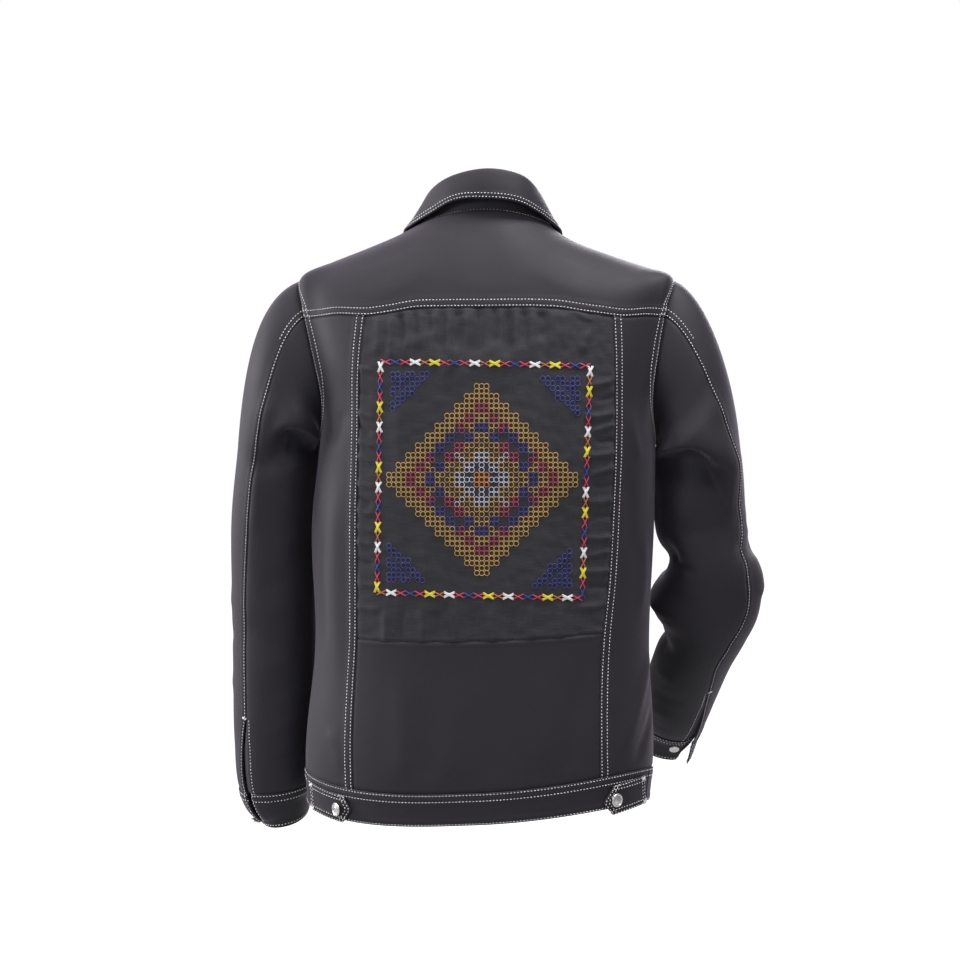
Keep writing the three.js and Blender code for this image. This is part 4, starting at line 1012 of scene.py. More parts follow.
# ---------------------------------------------------------------- body panels
# How an edge is finished: its lap, whether it is free, and its rows of stitching.
OVER, UNDER, PLAIN = (1, 0, 2), (-1, 0, 2), (0, 0, 2)
FREE, TURNED = (0, 1, 1), (1, 1, 1)  # a cut edge, and one turned in and topstitched
LAP_CHANGE, SHOULDER_CHANGE = 0.03, 0.02  # share of an edge over which one way changes to another
# Shares of the grid's rows and columns that the stretches of an edge get.
SIDE_COLUMNS, BACK_COLUMNS = 5, 10
YOKE_ROWS, ARM_ROWS, CHEST_ROWS, SHOULDER_ROWS = 3, 5, 8, 5
SIDE_ROWS, LOWER_ROWS, UPPER_ROWS = 9, 4, 10
LONG_SEAM_TOP = -138  # about the level where the long seams meet the yoke

def yoke_level(angle):
    return track(YOKE_SEAM, "level", angle)


def long_seam(side, level):
    return angle_of(track(LONG_SEAM, "left" if side == LEFT else "right", level), level)


def seam_top(side):
    """Angle at which the long seam meets the yoke seam."""
    angle = long_seam(side, LONG_SEAM_TOP)
    for _ in range(8):
        angle = long_seam(side, yoke_level(angle))
    return float(angle)


SEAM_ANGLE = {side: seam_top(side) for side in (LEFT, RIGHT)}
ARM_ANGLE = {side: armhole(side, BACK_SEAM)[0] for side in (LEFT, RIGHT)}


def yoke_seam(start, end):
    """The yoke seam between two angles, eased near its ends to meet the sleeves' back seams."""
    left, right = armhole(LEFT, BACK_SEAM), armhole(RIGHT, BACK_SEAM)

    def edge(t):
        angle = start + (end - start) * t
        at = np.where(angle < 0, right[0], left[0])
        level = np.where(angle < 0, right[1], left[1])
        near = np.maximum(0, 1 - np.abs(at - angle) / YOKE_EASE) ** 2
        return angle, yoke_level(angle) + near * (level - yoke_level(at))

    return edge


def arm_edge(side, start, end):
    return lambda t: armhole(side, start + (end - start) * t)


def side_seam(side):
    return line((side * SIDE_SEAM, WAIST), armhole(side, 180))


def shoulder_seam(side):
    return line(armhole(side, SHOULDER), (side * SHOULDER_NECK, 0))


def make_yoke():
    low = join(
        (SIDE_COLUMNS, yoke_seam(ARM_ANGLE[RIGHT], SEAM_ANGLE[RIGHT])),
        (BACK_COLUMNS, yoke_seam(SEAM_ANGLE[RIGHT], SEAM_ANGLE[LEFT])),
        (SIDE_COLUMNS, yoke_seam(SEAM_ANGLE[LEFT], ARM_ANGLE[LEFT])),
    )
    high = line((-SHOULDER_NECK, 0), (SHOULDER_NECK, 0))
    edge = {side: join((YOKE_ROWS, arm_edge(side, BACK_SEAM, SHOULDER - 360)),
                       (SHOULDER_ROWS, shoulder_seam(side))) for side in (LEFT, RIGHT)}
    laps = {"low": OVER, "high": UNDER, "start": OVER, "end": OVER}
    body_panel("back_yoke", (low, high, edge[RIGHT], edge[LEFT]), (430, 170), 3.2, laps, BACK_CREASES)


def long_edge(side):
    top = yoke_level(SEAM_ANGLE[side])

    def stretch(low, high):
        return lambda t: (long_seam(side, low + (high - low) * t), low + (high - low) * t)

    return stretch(WAIST, PANEL_SEAM), stretch(PANEL_SEAM, top)


def make_back():
    def across(level):
        return line((long_seam(RIGHT, level), level), (long_seam(LEFT, level), level))

    top = yoke_seam(SEAM_ANGLE[RIGHT], SEAM_ANGLE[LEFT])
    lower, upper = zip(long_edge(RIGHT), long_edge(LEFT))
    sides = {"start": UNDER, "end": UNDER}
    body_panel("back_centre_upper", (across(PANEL_SEAM), top, *upper), (285, 360), 2.7,
               {"low": PLAIN, "high": UNDER, **sides}, PANEL_CREASES, CREASE_GAIN["panel"], woven=True)
    body_panel("back_centre_lower", (across(WAIST), across(PANEL_SEAM), *lower), (275, 167), 3.4,
               {"low": UNDER, "high": PLAIN, **sides}, BACK_CREASES)


def make_side_back(side, name):
    outer = join((SIDE_ROWS, side_seam(side)), (ARM_ROWS, arm_edge(side, 180, BACK_SEAM)))
    lower, upper = long_edge(side)
    inner = join((LOWER_ROWS, lower), (UPPER_ROWS, upper))
    low = line((long_seam(side, WAIST), WAIST), (side * SIDE_SEAM, WAIST))
    high = yoke_seam(SEAM_ANGLE[side], ARM_ANGLE[side])
    arm = 1 - ARM_ROWS / (SIDE_ROWS + ARM_ROWS)
    arm_lap = (lambda t: smooth(arm - LAP_CHANGE, arm + LAP_CHANGE, t), 0, 2)
    laps = {"low": UNDER, "high": UNDER, "start": OVER, "end": arm_lap}
    body_panel("side_back_" + name, (low, high, inner, outer), (80, 520), 3.0, laps, BACK_CREASES)


def make_front(side, name):
    outer = join((SIDE_ROWS, side_seam(side)), (CHEST_ROWS, arm_edge(side, 180, SHOULDER)),
                 (SHOULDER_ROWS, shoulder_seam(side)))

    def centre(t):
        return side * 180 + 0 * t, outer(t)[1]

    def lap(t):
        under_arm = smooth(arm - LAP_CHANGE, arm + LAP_CHANGE, t)
        return under_arm - 2 * smooth(top - SHOULDER_CHANGE, top + SHOULDER_CHANGE, t)

    low = line((side * SIDE_SEAM, WAIST), (side * 180, WAIST))
    high = line((side * SHOULDER_NECK, 0), (side * 180, 0))
    whole = SIDE_ROWS + CHEST_ROWS + SHOULDER_ROWS
    arm, top = SIDE_ROWS / whole, SIDE_ROWS / whole + CHEST_ROWS / whole
    laps = {"low": UNDER, "high": UNDER, "start": (lap, 0, 2), "end": PLAIN}
    body_panel("front_" + name, (low, high, outer, centre), (190, 640), 4.0, laps, FRONT_CREASES,
               CREASE_GAIN["front"], front=True)


# ---------------------------------------------------------------- pieces that lie on the body
def strip(name, angle, level, out, edges, thick, relief):
    """A piece that lies on the body, with its inner side some way out of it."""
    finish_wall(name, torso(angle, level, out), torso_normal(angle, level), relief, edges, thick)


def make_placket():
    u, v = np.meshgrid(places(2 * PLACKET_HALF, 3.0), places(PLACKET_LONG, 3.6))
    level = WAIST + 1 + (PLACKET_TOP - WAIST - 1) * v
    angle = angle_of((2 * u - 1) * PLACKET_HALF, level, True)
    edges = {"low": UNDER, "high": UNDER, "start": TURNED, "end": TURNED}
    relief = 0.35 * wobble(level, 2.0) + 0.5 * np.sin(level / 58) * smooth(WAIST, WAIST + 30, level)
    strip("front_placket", angle, level, PLACKET_OUT + 0 * level, edges, CLOTH, relief)


def make_waistband():
    def band(name, start, end, length, out, ends):
        u, v = np.meshgrid(places(length, 3.4), places(BAND_WIDE, 3.2))
        angle, level = start + (end - start) * u, HEM + (WAIST - HEM) * v
        relief = 0.3 * wobble(angle * 3.1, 1.0) * np.sin(np.pi * v)
        edges = {"low": TURNED, "high": OVER, "start": ends[0], "end": ends[1]}
        strip("waistband_" + name, angle, level, out(angle), edges, BAND, relief)

    def flat(angle):
        return BAND_OUT + 0 * angle

    def lapped(angle):
        """The left end climbs on top of the right one, under the placket."""
        return BAND_OUT + (BAND + LAY) * smooth(lap_start, lap_full, angle)

    lap_start, lap_full, lap_end = (float(angle_of(x, WAIST, True)) for x in (*BAND_LAP, -PLACKET_HALF))
    band("back", -BAND_SEAM, BAND_SEAM, BACK_BAND, flat, (PLAIN, PLAIN))
    band("front_right", -180, -BAND_SEAM, RIGHT_BAND, flat, (FREE, PLAIN))
    band("front_left", BAND_SEAM, lap_end, LEFT_BAND, lapped, (PLAIN, TURNED))


def make_tab(side, name):
    root_low, root_high, end_low, end_high, tip = [(side * angle, level) for angle, level in TABS[side]]
    nose = join((1, line(end_low, tip)), (1, line(tip, end_high)))
    u, v = np.meshgrid(places(TAB_LONG, 2.2), places(TAB_WIDE, 1.8))
    angle, level = patch(line(root_low, end_low), line(root_high, end_high),
                         line(root_low, root_high), nose, u, v)
    edges = {key: TURNED for key in ("low", "high", "start", "end")}
    relief = TAB_RISE * smooth(*TAB_RISE_ANGLES, np.abs(angle))
    strip("side_tab_" + name, angle, level, TAB_OUT + 0 * angle, edges, BAND, relief)


# ---------------------------------------------------------------- collar
def collar_sections(part):
    """Eight points of each section, from the neck seam up to the fold and down to the fall's edge."""
    side = np.where(part < 0, RIGHT, LEFT)
    at = np.abs(part)
    neck, x, y, z, angle, level, lift = (track(COLLAR, column, at) for column in list(COLLAR)[1:])
    over = plateau(at, *COLLAR_UNEVEN)
    wider, longer, higher = (
        1 + (np.where(side == LEFT, share[LEFT], share[RIGHT]) - 1) * over
        for share in (COLLAR_WIDTH, COLLAR_FALL, COLLAR_LIFT)
    )
    base = torso(side * neck, 0 * at) + np.array([0, 0, COLLAR_RISE])
    fold = np.stack([side * x * wider, y, z], -1)
    edge = torso(side * angle, level * longer, lift * higher)
    outward = unit((edge - fold) * np.array([1, 1, 0]))
    turn_in, turn_out = (fold + outward * out + np.array([0, 0, up]) for out, up in (COLLAR_IN, COLLAR_OUT))

    def between(a, b, share, bulge):
        return a + (b - a) * share + outward * bulge

    foot = base - np.array([0, 0, COLLAR_RISE + COLLAR_ROOT])
    stand = between(base, turn_in, *COLLAR_STAND)
    fall = [between(turn_out, edge, *place) for place in COLLAR_FALLS]
    return np.stack([foot, stand, turn_in, fold, turn_out, *fall, edge])


def through(points, count):
    """Smooth curve through each column of control points, evenly spaced."""
    rows = len(points)
    slope = np.gradient(points, axis=0)

    def curve(t):
        i = np.clip(t.astype(int), 0, rows - 2)
        return hermite(points[i], points[i + 1], slope[i], slope[i + 1], (t - i)[:, None, None])

    t = np.linspace(0, rows - 1, count * 8)
    run = lengths(curve(t), 0).mean(axis=1)
    return curve(np.interp(np.linspace(0, run[-1], count), run, t))


def make_collar():
    middle = through(collar_sections(np.linspace(-1, 1, COLLAR_COLUMNS)), COLLAR_ROWS)
    climb, run = np.gradient(middle, axis=0), np.gradient(middle, axis=1)
    normals = unit(np.cross(run, climb))
    edges = {"low": PLAIN, "high": TURNED, "start": TURNED, "end": TURNED}
    finish_wall("collar", middle + normals * COLLAR_WALL / 2, normals, 0.0, edges, COLLAR_WALL)


# ---------------------------------------------------------------- sleeves and cuffs
def back_seam(side, run):
    run = np.asarray(run, float)
    low = SLEEVE[side]["seam"][0]
    upper = BACK_SEAM + (low - BACK_SEAM) * (run / CAP) + BACK_SEAM_BOW * np.sin(np.pi * run / CAP)
    return np.where(run >= CAP, track(SLEEVE[side], "seam", below_cap(run)), upper)


def degrees_round(side, run, width):
    """The angle that a width of cloth takes up round the sleeve."""
    return np.degrees(width / track(SLEEVE[side], "deep", below_cap(run)))


def upper_edge(side, run):
    return back_seam(side, run) - degrees_round(side, run, track(SLIT[side], "open", run))


def lapped_share(run):
    """0 above the sleeve's slit, 1 where its lower edge reaches on under the upper one in full."""
    start, full = (SLIT_TOP + more for more in LAP_STARTS)
    return smooth(start, full, run)


def underlap(side, run):
    """Degrees by which the lower edge of the slit reaches on under the upper one."""
    return degrees_round(side, run, UNDERLAP[side]) * lapped_share(run)


def sunk(side, run, turn):
    """How far cloth that lies under the slit's upper edge is pressed in."""
    inside = smooth(*PRESS_TURN, turn - back_seam(side, run))
    return -PRESS * inside * smooth(*PRESS_LAP, underlap(side, run))


def flare(side, run, turn):
    """How far the cloth beside the slit's upper edge stands off, more so towards the cuff."""
    near = np.maximum(0, 1 - (upper_edge(side, run) - turn) / FLARE_ANGLE)
    return FLARE[side] * near**2 * smooth(SLIT_TOP, 1, run)


def sleeve_wall(name, side, run, turn, out, edges, thick):
    base = smooth_sleeve(side, run, turn)
    normals = sleeve_normal(side, run, turn)
    height = out + sleeve_relief(side, base, normals, run)
    return finish_wall(name, base, normals, height, edges, thick)


def make_sleeve(side, name):
    rows = places(SLEEVE_LONG, 3.8, (55, 250, 2.3)) * CUFF
    slit = SLIT_TOP / CUFF

    def below_slit(t):
        return smooth(slit - 0.01, slit + 0.01, t)

    u, run = np.meshgrid(places(UNDER_WIDE, 2.9), rows)
    start = back_seam(side, run) - underlap(side, run)
    turn = start + (FRONT_SEAM - start) * u
    under_back = (lambda t: -(1 - below_slit(t)), below_slit, 1)
    edges = {"low": UNDER, "high": UNDER, "start": under_back, "end": PLAIN}
    wall = sleeve_wall("sleeve_under_" + name, side, run, turn, sunk(side, run, turn), edges, CLOTH)
    wall.turned_in = UNDERLAP[side] * lapped_share(rows)
    u, run = np.meshgrid(places(UPPER_WIDE, 3.8), rows)
    start = FRONT_SEAM - 360
    turn = start + (upper_edge(side, run) - start) * u
    edges = {"low": UNDER, "high": UNDER, "start": PLAIN, "end": (1, below_slit, 1)}
    sleeve_wall("sleeve_upper_" + name, side, run, turn, flare(side, run, turn), edges, CLOTH)


def make_cuff(side, name):
    share, run = np.meshgrid(places(CUFF_ROUND, 2.8), CUFF + (1 - CUFF) * places(CUFF_HIGH, 2.6))
    start = back_seam(side, run) - CUFF_TONGUE[side] * smooth(1, 0.3, (run - CUFF) / (1 - CUFF))
    turn = start + (upper_edge(side, run) + 360 - start) * share
    out = BAND_OUT + flare(side, run, turn - 360) + CUFF_PRESS * sunk(side, run, turn)
    edges = {"low": OVER, "high": TURNED, "start": TURNED, "end": TURNED}
    sleeve_wall("cuff_" + name, side, run, turn, out, edges, BAND)


# ---------------------------------------------------------------- topstitching
STITCHES = {"body_topstitching": [], "band_topstitching": [], "sleeve_topstitching": [], "bar_tacks": []}


def seam_line(wall, edge, distance, start=0.0, end=1.0):
    """Points on a wall's face at a distance, or one for each row, from one of its edges, and the
    face's normals."""
    face, normals = wall.face, wall.normals
    if edge in ("low", "high"):
        face, normals = face.transpose(1, 0, 2), normals.transpose(1, 0, 2)
    if edge in ("high", "end"):
        face, normals = face[:, ::-1], normals[:, ::-1]
    rows = list(zip(np.broadcast_to(distance, len(face)), lengths(face, 1)))

    def sample(grid):
        return np.array([[np.interp(away, gap, row[:, k]) for k in range(3)]
                         for (away, gap), row in zip(rows, grid)])

    points, facing = sample(face), unit(sample(normals))
    run = lengths(points[None], 1)[0]
    keep = (run >= start * run[-1]) & (run <= end * run[-1])
    return points[keep], facing[keep]


def sew(group, name, edge, distances, start=0.0, end=1.0):
    """Rows of stitching at distances from a piece's edge, from one share of its length to another."""
    for distance in distances:
        STITCHES[group].append(seam_line(WALLS[name], edge, distance, start, end))


def tack(name, edge, distance, long, share):
    """Bar tack: a close zigzag across a line of stitching, at a share of its length."""
    points, facing = seam_line(WALLS[name], edge, distance)
    run = lengths(points[None], 1)[0]
    middle = np.array([np.interp(share * run[-1], run, points[:, k]) for k in range(3)])
    near = int(np.clip(np.searchsorted(run, share * run[-1]), 1, len(run) - 2))
    beside = unit(points[near + 1] - points[near - 1])
    heading = np.cross(facing[near], beside)
    for step in np.arange(-long / 2, long / 2, TACK_STEP):
        at = middle + heading * step
        stitch = np.array([at - beside * TACK_WIDE / 2, at + beside * TACK_WIDE / 2])
        STITCHES["bar_tacks"].append((stitch, np.array([facing[near]] * 2)))


def sew_body(group):
    sew(group, "back_yoke", "low", NEEDLES, 0.004, 0.996)
    sew(group, "back_yoke", "start", ARM_NEEDLES)
    sew(group, "back_yoke", "end", ARM_NEEDLES)
    sew(group, "back_yoke", "high", (NECK_NEEDLE,), 0.05, 0.95)
    for _, side in SIDES:
        sew(group, "side_back_" + side, "start", NEEDLES)
        sew(group, "side_back_" + side, "end", ARM_NEEDLES, 0.69)
        sew(group, "front_" + side, "start", ARM_NEEDLES, 0.535, 0.8)
    for edge in ("start", "end"):
        sew(group, "front_placket", edge, PLACKET_NEEDLES)


def sew_bands(group):
    for name in ("back", "front_left", "front_right"):
        sew(group, "waistband_" + name, "high", NEEDLES)
        sew(group, "waistband_" + name, "low", (EDGE_NEEDLE,))
    sew(group, "waistband_front_left", "end", (EDGE_NEEDLE,))
    for _, side in SIDES:
        for edge in ("low", "high", "end"):
            sew(group, "side_tab_" + side, edge, TAB_NEEDLES, 0.02, 0.98)
        sew(group, "side_tab_" + side, "start", TAB_ROOT_NEEDLES, 0.04, 0.96)
        sew(group, "cuff_" + side, "low", NEEDLES)
        sew(group, "cuff_" + side, "high", (CUFF_NEEDLE,))
        for edge in ("start", "end"):
            sew(group, "cuff_" + side, edge, (EDGE_NEEDLE,))
    for edge in ("high", "start", "end"):
        sew(group, "collar", edge, COLLAR_NEEDLES, 0.01, 0.99)


def sew_sleeves(group):
    for _, side in SIDES:
        sew(group, "sleeve_upper_" + side, "end", NEEDLES[:1])
        sew(group, "sleeve_upper_" + side, "end", NEEDLES[1:], 0, 0.08)
        turned_in = WALLS["sleeve_under_" + side].turned_in
        sew(group, "sleeve_under_" + side, "start", (SLIT_NEEDLE + turned_in,), SLIT_TOP / CUFF)


def sew_tacks():
    for _, side in SIDES:
        for share in TAB_TACK_PLACES:
            tack("side_tab_" + side, "start", *TAB_TACK, share)
        tack("sleeve_upper_" + side, "end", *SLIT_TACK, SLIT_TOP / CUFF)

def geometry_tree(name, inputs):
    """Geometry Nodes tree with a Geometry input and output and other named inputs."""
    geometry = ("Geometry", "NodeSocketGeometry")
    return new_tree(name, "GeometryNodeTree", [(*geometry, None), *inputs], [geometry])


def bake_tree(name, source, tree, values):
    """Runs a tree on a source mesh and keeps the result as a plain mesh piece."""
    holder = bpy.data.objects.new(name + "_layout", source)
    bpy.context.scene.collection.objects.link(holder)
    modifier = holder.modifiers.new("make", "NODES")
    modifier.node_group = tree
    for item in tree.interface.items_tree:
        if item.in_out == "INPUT" and item.name in values:
            modifier[item.identifier] = values[item.name]
    bpy.context.view_layer.update()
    evaluated = holder.evaluated_get(bpy.context.evaluated_depsgraph_get())
    mesh = bpy.data.meshes.new_from_object(evaluated)
    bpy.data.objects.remove(holder)
    bpy.data.meshes.remove(source)
    mesh.name = name
    keep_piece(name, mesh)


def named(n, name):
    """Vector kept under a name on each point."""
    return n.add("GeometryNodeInputNamedAttribute", {"data_type": "FLOAT_VECTOR"}, Name=name).outputs[0]


def lie_on_cloth(n, along):
    """Rotation that turns X along a direction, and Z out of the cloth."""
    kind = "FunctionNodeAlignRotationToVector"
    turned = n.add(kind, {"axis": "X", "pivot_axis": "AUTO"}, Vector=along).outputs[0]
    return n.add(kind, {"axis": "Z", "pivot_axis": "X"}, Vector=named(n, "facing"),
                 Rotation=turned).outputs[0]


def at_points(n, points, body, rotation, **more):
    return n.add("GeometryNodeInstanceOnPoints", Points=points, Instance=body, Rotation=rotation,
                 **more).outputs[0]


def end_tree(n, result, rows, material):
    """Ends a tree with real meshes in place of instances, and their material."""
    rows = n.add("GeometryNodeRealizeInstances", i0=rows).outputs[0]
    rows = n.add("GeometryNodeSetMaterial", Geometry=rows, Material=material).outputs[0]
    n.feed(result, "Geometry", rows)
    return n.tree


def make_stitch_tree():
    """Stitches of one length along curves that lie on the cloth."""
    n, given, result = geometry_tree("topstitch", [
        ("Pitch", "NodeSocketFloat", 0.0036),
        ("Length", "NodeSocketFloat", 0.003),
        ("Width", "NodeSocketFloat", 0.001),
        ("Seed", "NodeSocketInt", STITCH_SEED),
    ])

    def random(low, high):
        return n.add("FunctionNodeRandomValue", {"data_type": "FLOAT_VECTOR"}, i0=low, i1=high,
                     Seed=given["Seed"]).outputs[0]

    curve = n.add("GeometryNodeMeshToCurve", i0=given["Geometry"]).outputs[0]
    even = n.add("GeometryNodeResampleCurve", {"mode": "LENGTH"}, i0=curve, Length=given["Pitch"])
    body = n.add("GeometryNodeMeshUVSphere", Segments=6, Rings=3, Radius=0.5).outputs[0]
    size = n.add("ShaderNodeCombineXYZ", X=given["Width"], Y=given["Width"], Z=given["Length"]).outputs[0]
    body = n.add("GeometryNodeTransform", Geometry=body, Scale=size).outputs[0]
    body = n.add("GeometryNodeTransform", Geometry=body, Rotation=(0.0, math.pi / 2, 0.0)).outputs[0]
    turned = lie_on_cloth(n, n.add("GeometryNodeInputTangent").outputs[0])
    wander = random((-0.1, -0.03, -0.07), (0.1, 0.06, 0.07))
    wander = n.add("FunctionNodeEulerToRotation", i0=wander).outputs[0]
    turned = n.add("FunctionNodeRotateRotation", {"rotation_space": "LOCAL"}, i0=turned, i1=wander).outputs[0]
    scale = random((0.9, 0.85, 0.75), (1.05, 1.1, 0.95))
    rows = at_points(n, even.outputs[0], body, turned, Scale=scale)
    tint = n.add("FunctionNodeRandomValue", {"data_type": "FLOAT"}, i2=0.8, i3=1.12,
                 Seed=given["Seed"]).outputs[1]
    rows = n.add("GeometryNodeStoreNamedAttribute", {"data_type": "FLOAT", "domain": "INSTANCE"},
                 Geometry=rows, Name="tint", Value=tint).outputs[0]
    return end_tree(n, result, rows, TOPSTITCH)


def layout_mesh(name, lines):
    """Bare lines that lie a little above the cloth, with the cloth's facing kept on each point."""
    points, edges, facing = [], [], []
    for at, up in lines:
        first = sum(len(p) for p in points)
        points.append(at + up * THREAD_LIFT)
        facing.append(up)
        edges += [(first + i, first + i + 1) for i in range(len(at) - 1)]
    mesh = bpy.data.meshes.new(name)
    mesh.from_pydata((np.concatenate(points) * MM).tolist(), edges, [])
    keep_vectors(mesh, "facing", np.concatenate(facing))
    return mesh


def keep_vectors(mesh, name, values):
    layer = mesh.attributes.new(name, "FLOAT_VECTOR", "POINT")
    layer.data.foreach_set("vector", np.array(values, np.float32).ravel())


def make_topstitching():
    body, band, sleeve = list(STITCHES)[:3]
    sew_body(body)
    sew_bands(band)
    sew_sleeves(sleeve)
    sew_tacks()
    tree = make_stitch_tree()
    for group, lines in STITCHES.items():
        sizes = TACK_THREAD if group == "bar_tacks" else (PITCH, STITCH_LONG, THREAD_WIDE)
        values = {key: size * MM for key, size in zip(("Pitch", "Length", "Width"), sizes)}
        values["Seed"] = STITCH_SEED
        bake_tree(group, layout_mesh(group + "_lines", lines), tree, values)


# ---------------------------------------------------------------- embroidery
RED, NAVY, WHITE = (0.62, 0.03, 0.09), (0.022, 0.03, 0.26), (0.8, 0.8, 0.82)
ORANGE, YELLOW, GOLD = (0.5, 0.14, 0.02), (0.78, 0.66, 0.02), (0.58, 0.35, 0.07)
CRIMSON, SILVER, AMBER = (0.46, 0.03, 0.09), (0.6, 0.62, 0.74), (0.75, 0.27, 0.02)
FRAME_CORNERS = ((115.5, -182.5), (-115.5, -189), (-106.5, -440.5), (120.5, -430.5))  # x and level
CROSS_PITCH, CROSS_LONG, CROSS_LIFT = 11.0, 1.04, 0.1  # its length is a share of the pitch
CROSS_SINK, CROSS_TOPS = 0.2, (1.2, 2.2)  # how deep its ends go, and how high its two arms bend
STRAND_GAP = 0.95  # from one strand to the next, as a share of the thread
CROSS_ORDER = (RED, NAVY, RED, WHITE, ORANGE, YELLOW)
# Strands side by side in a cross, its width, and the width of its thread.
CROSSES = {"border_fine": (1, 5.6, 1.2), "border_coarse": (2, 5.4, 1.45)}
COARSE = (WHITE, YELLOW)
RING_PITCH, RING_REACH = 5.4, 19  # the chart goes so many rings each way from its middle
RING_RADIUS, RING_THREAD, RING_LIFT, RING_TILT = 2.85, 0.8, 0.55, 0.16
CORNER_RINGS, CORNER_INSET = 9, 14
PANEL_CLEAR = 60.0  # a distance behind the panel from which nothing is in front of it


def surface_of(name):
    """Search tree over the outer face of a finished wall."""
    face = WALLS[name].face
    rows, columns = face.shape[:2]
    at = np.arange(rows * columns).reshape(rows, columns)
    quads = np.stack([at[:-1, :-1], at[:-1, 1:], at[1:, 1:], at[1:, :-1]], -1).reshape(-1, 4)
    return BVHTree.FromPolygons(face.reshape(-1, 3).tolist(), quads.tolist())


def on_panel(surface, target):
    """Point of the finished woven panel behind a place, and the way out of it."""
    found, up = surface.ray_cast(Vector(target + np.array([0, PANEL_CLEAR, 0])), Vector((0, -1, 0)))[:2]
    up = np.array(up) * (1 if up.y > 0 else -1)
    return np.array(found), up


def make_cross_tree():
    """Crossed strands lying flat; Strands side by side in each direction."""
    n, given, result = geometry_tree("cross_stitch", [
        ("Length", "NodeSocketFloat", 0.0115),
        ("Width", "NodeSocketFloat", 0.0056),
        ("Thread", "NodeSocketFloat", 0.001),
        ("Strands", "NodeSocketInt", 1),
    ])

    def point(x, y, z):
        return n.add("ShaderNodeCombineXYZ", X=x, Y=y, Z=z).outputs[0]

    half, side = n.times(given["Length"], 0.5), n.times(given["Width"], 0.5)
    both = n.add("GeometryNodeJoinGeometry")
    for sign, top in zip((1.0, -1.0), CROSS_TOPS):
        start = point(n.times(half, -1.0), n.times(side, -sign), -CROSS_SINK * MM)
        end = point(half, n.times(side, sign), -CROSS_SINK * MM)
        arm = n.add("GeometryNodeCurveQuadraticBezier", Resolution=6, Start=start,
                    Middle=point(0.0, 0.0, top * MM), End=end)
        n.tree.links.new(arm.outputs[0], both.inputs[0])
    profile = n.add("GeometryNodeCurvePrimitiveCircle", Resolution=6,
                    Radius=n.times(given["Thread"], 0.5)).outputs[0]
    strand = n.add("GeometryNodeCurveToMesh", Curve=both.outputs[0], Profile_Curve=profile, Fill_Caps=True)
    step = point(0.0, n.times(given["Thread"], STRAND_GAP), 0.0)
    beside = n.add("GeometryNodeMeshLine", Count=given["Strands"], Offset=step).outputs[0]
    first = n.times(n.math("SUBTRACT", given["Strands"], 1.0), -STRAND_GAP / 2, given["Thread"])
    beside = n.add("GeometryNodeTransform", Geometry=beside, Translation=point(0.0, first, 0.0)).outputs[0]
    cross = n.add("GeometryNodeInstanceOnPoints", Points=beside, Instance=strand.outputs[0]).outputs[0]
    rows = at_points(n, given["Geometry"], cross, lie_on_cloth(n, named(n, "along")))
    return end_tree(n, result, rows, EMBROIDERY)


def make_ring_tree():
    """Small thread rings, each turned and tilted by its own vectors so that neighbours interlock."""
    n, given, result = geometry_tree("ring_stitch", [
        ("Radius", "NodeSocketFloat", 0.0027),
        ("Thread", "NodeSocketFloat", 0.0009),
    ])
    ring = n.add("GeometryNodeCurvePrimitiveCircle", Resolution=12, Radius=given["Radius"]).outputs[0]
    profile = n.add("GeometryNodeCurvePrimitiveCircle", Resolution=4,
                    Radius=n.times(given["Thread"], 0.5)).outputs[0]
    body = n.add("GeometryNodeCurveToMesh", Curve=ring, Profile_Curve=profile).outputs[0]
    rows = at_points(n, given["Geometry"], body, lie_on_cloth(n, named(n, "along")))
    return end_tree(n, result, rows, EMBROIDERY)


def point_mesh(name, rows):
    """Bare points. Each row is a place, the way along the thread, the way out of the cloth and the
    thread's colour."""
    points, along, facing, shades = zip(*rows)
    mesh = bpy.data.meshes.new(name)
    mesh.from_pydata((np.array(points) * MM).tolist(), [], [])
    keep_vectors(mesh, "along", along)
    keep_vectors(mesh, "facing", facing)
    layer = mesh.attributes.new("shade", "FLOAT_COLOR", "POINT")
    layer.data.foreach_set("color", np.array([(*s, 1) for s in shades], np.float32).ravel())
    return mesh


def make_border(surface, corners):
    """Chain of crosses round the panel, two coarse colours after four fine ones."""
    rows = {name: [] for name in CROSSES}
    order = 0
    for a, b in zip(corners, corners[1:] + corners[:1]):
        count = round(np.linalg.norm(b - a) / CROSS_PITCH)
        ends = [on_panel(surface, a + (b - a) * k / count) for k in range(count + 1)]
        for (p, up_p), (q, up_q) in zip(ends[:-1], ends[1:]):
            shade = CROSS_ORDER[order % len(CROSS_ORDER)]
            middle = (p + q) / 2 + (up_p + up_q) * CROSS_LIFT
            name = "border_coarse" if shade in COARSE else "border_fine"
            rows[name].append((middle, unit(q - p), unit(up_p + up_q), shade))
            order += 1
    tree = make_cross_tree()
    for name, (strands, width, thread) in CROSSES.items():
        values = {"Length": CROSS_PITCH * CROSS_LONG * MM, "Width": width * MM, "Thread": thread * MM,
                  "Strands": strands}
        bake_tree(name, point_mesh(name + "_points", rows[name]), tree, values)


def ring_shade(i, j):
    """Thread of the ring at a place of the chart, or None where the ground is bare."""
    a, b = abs(i), abs(j)
    step = a // 2 + b // 2
    if step == 0:
        return AMBER
    if a <= 5 and b <= 5 and (a == b or min(a, b) == 0 or step == 2):
        return SILVER
    if step in (3, 4):
        return None if (a + b) % 4 == 0 else GOLD
    if step == 5:
        return CRIMSON if abs(a - b) <= 4 else NAVY
    if step == 7:
        return NAVY if abs(a - b) <= 5 else CRIMSON
    if step in (8, 9) or step == 6 and abs(a - b) >= 8:
        return GOLD
    return None


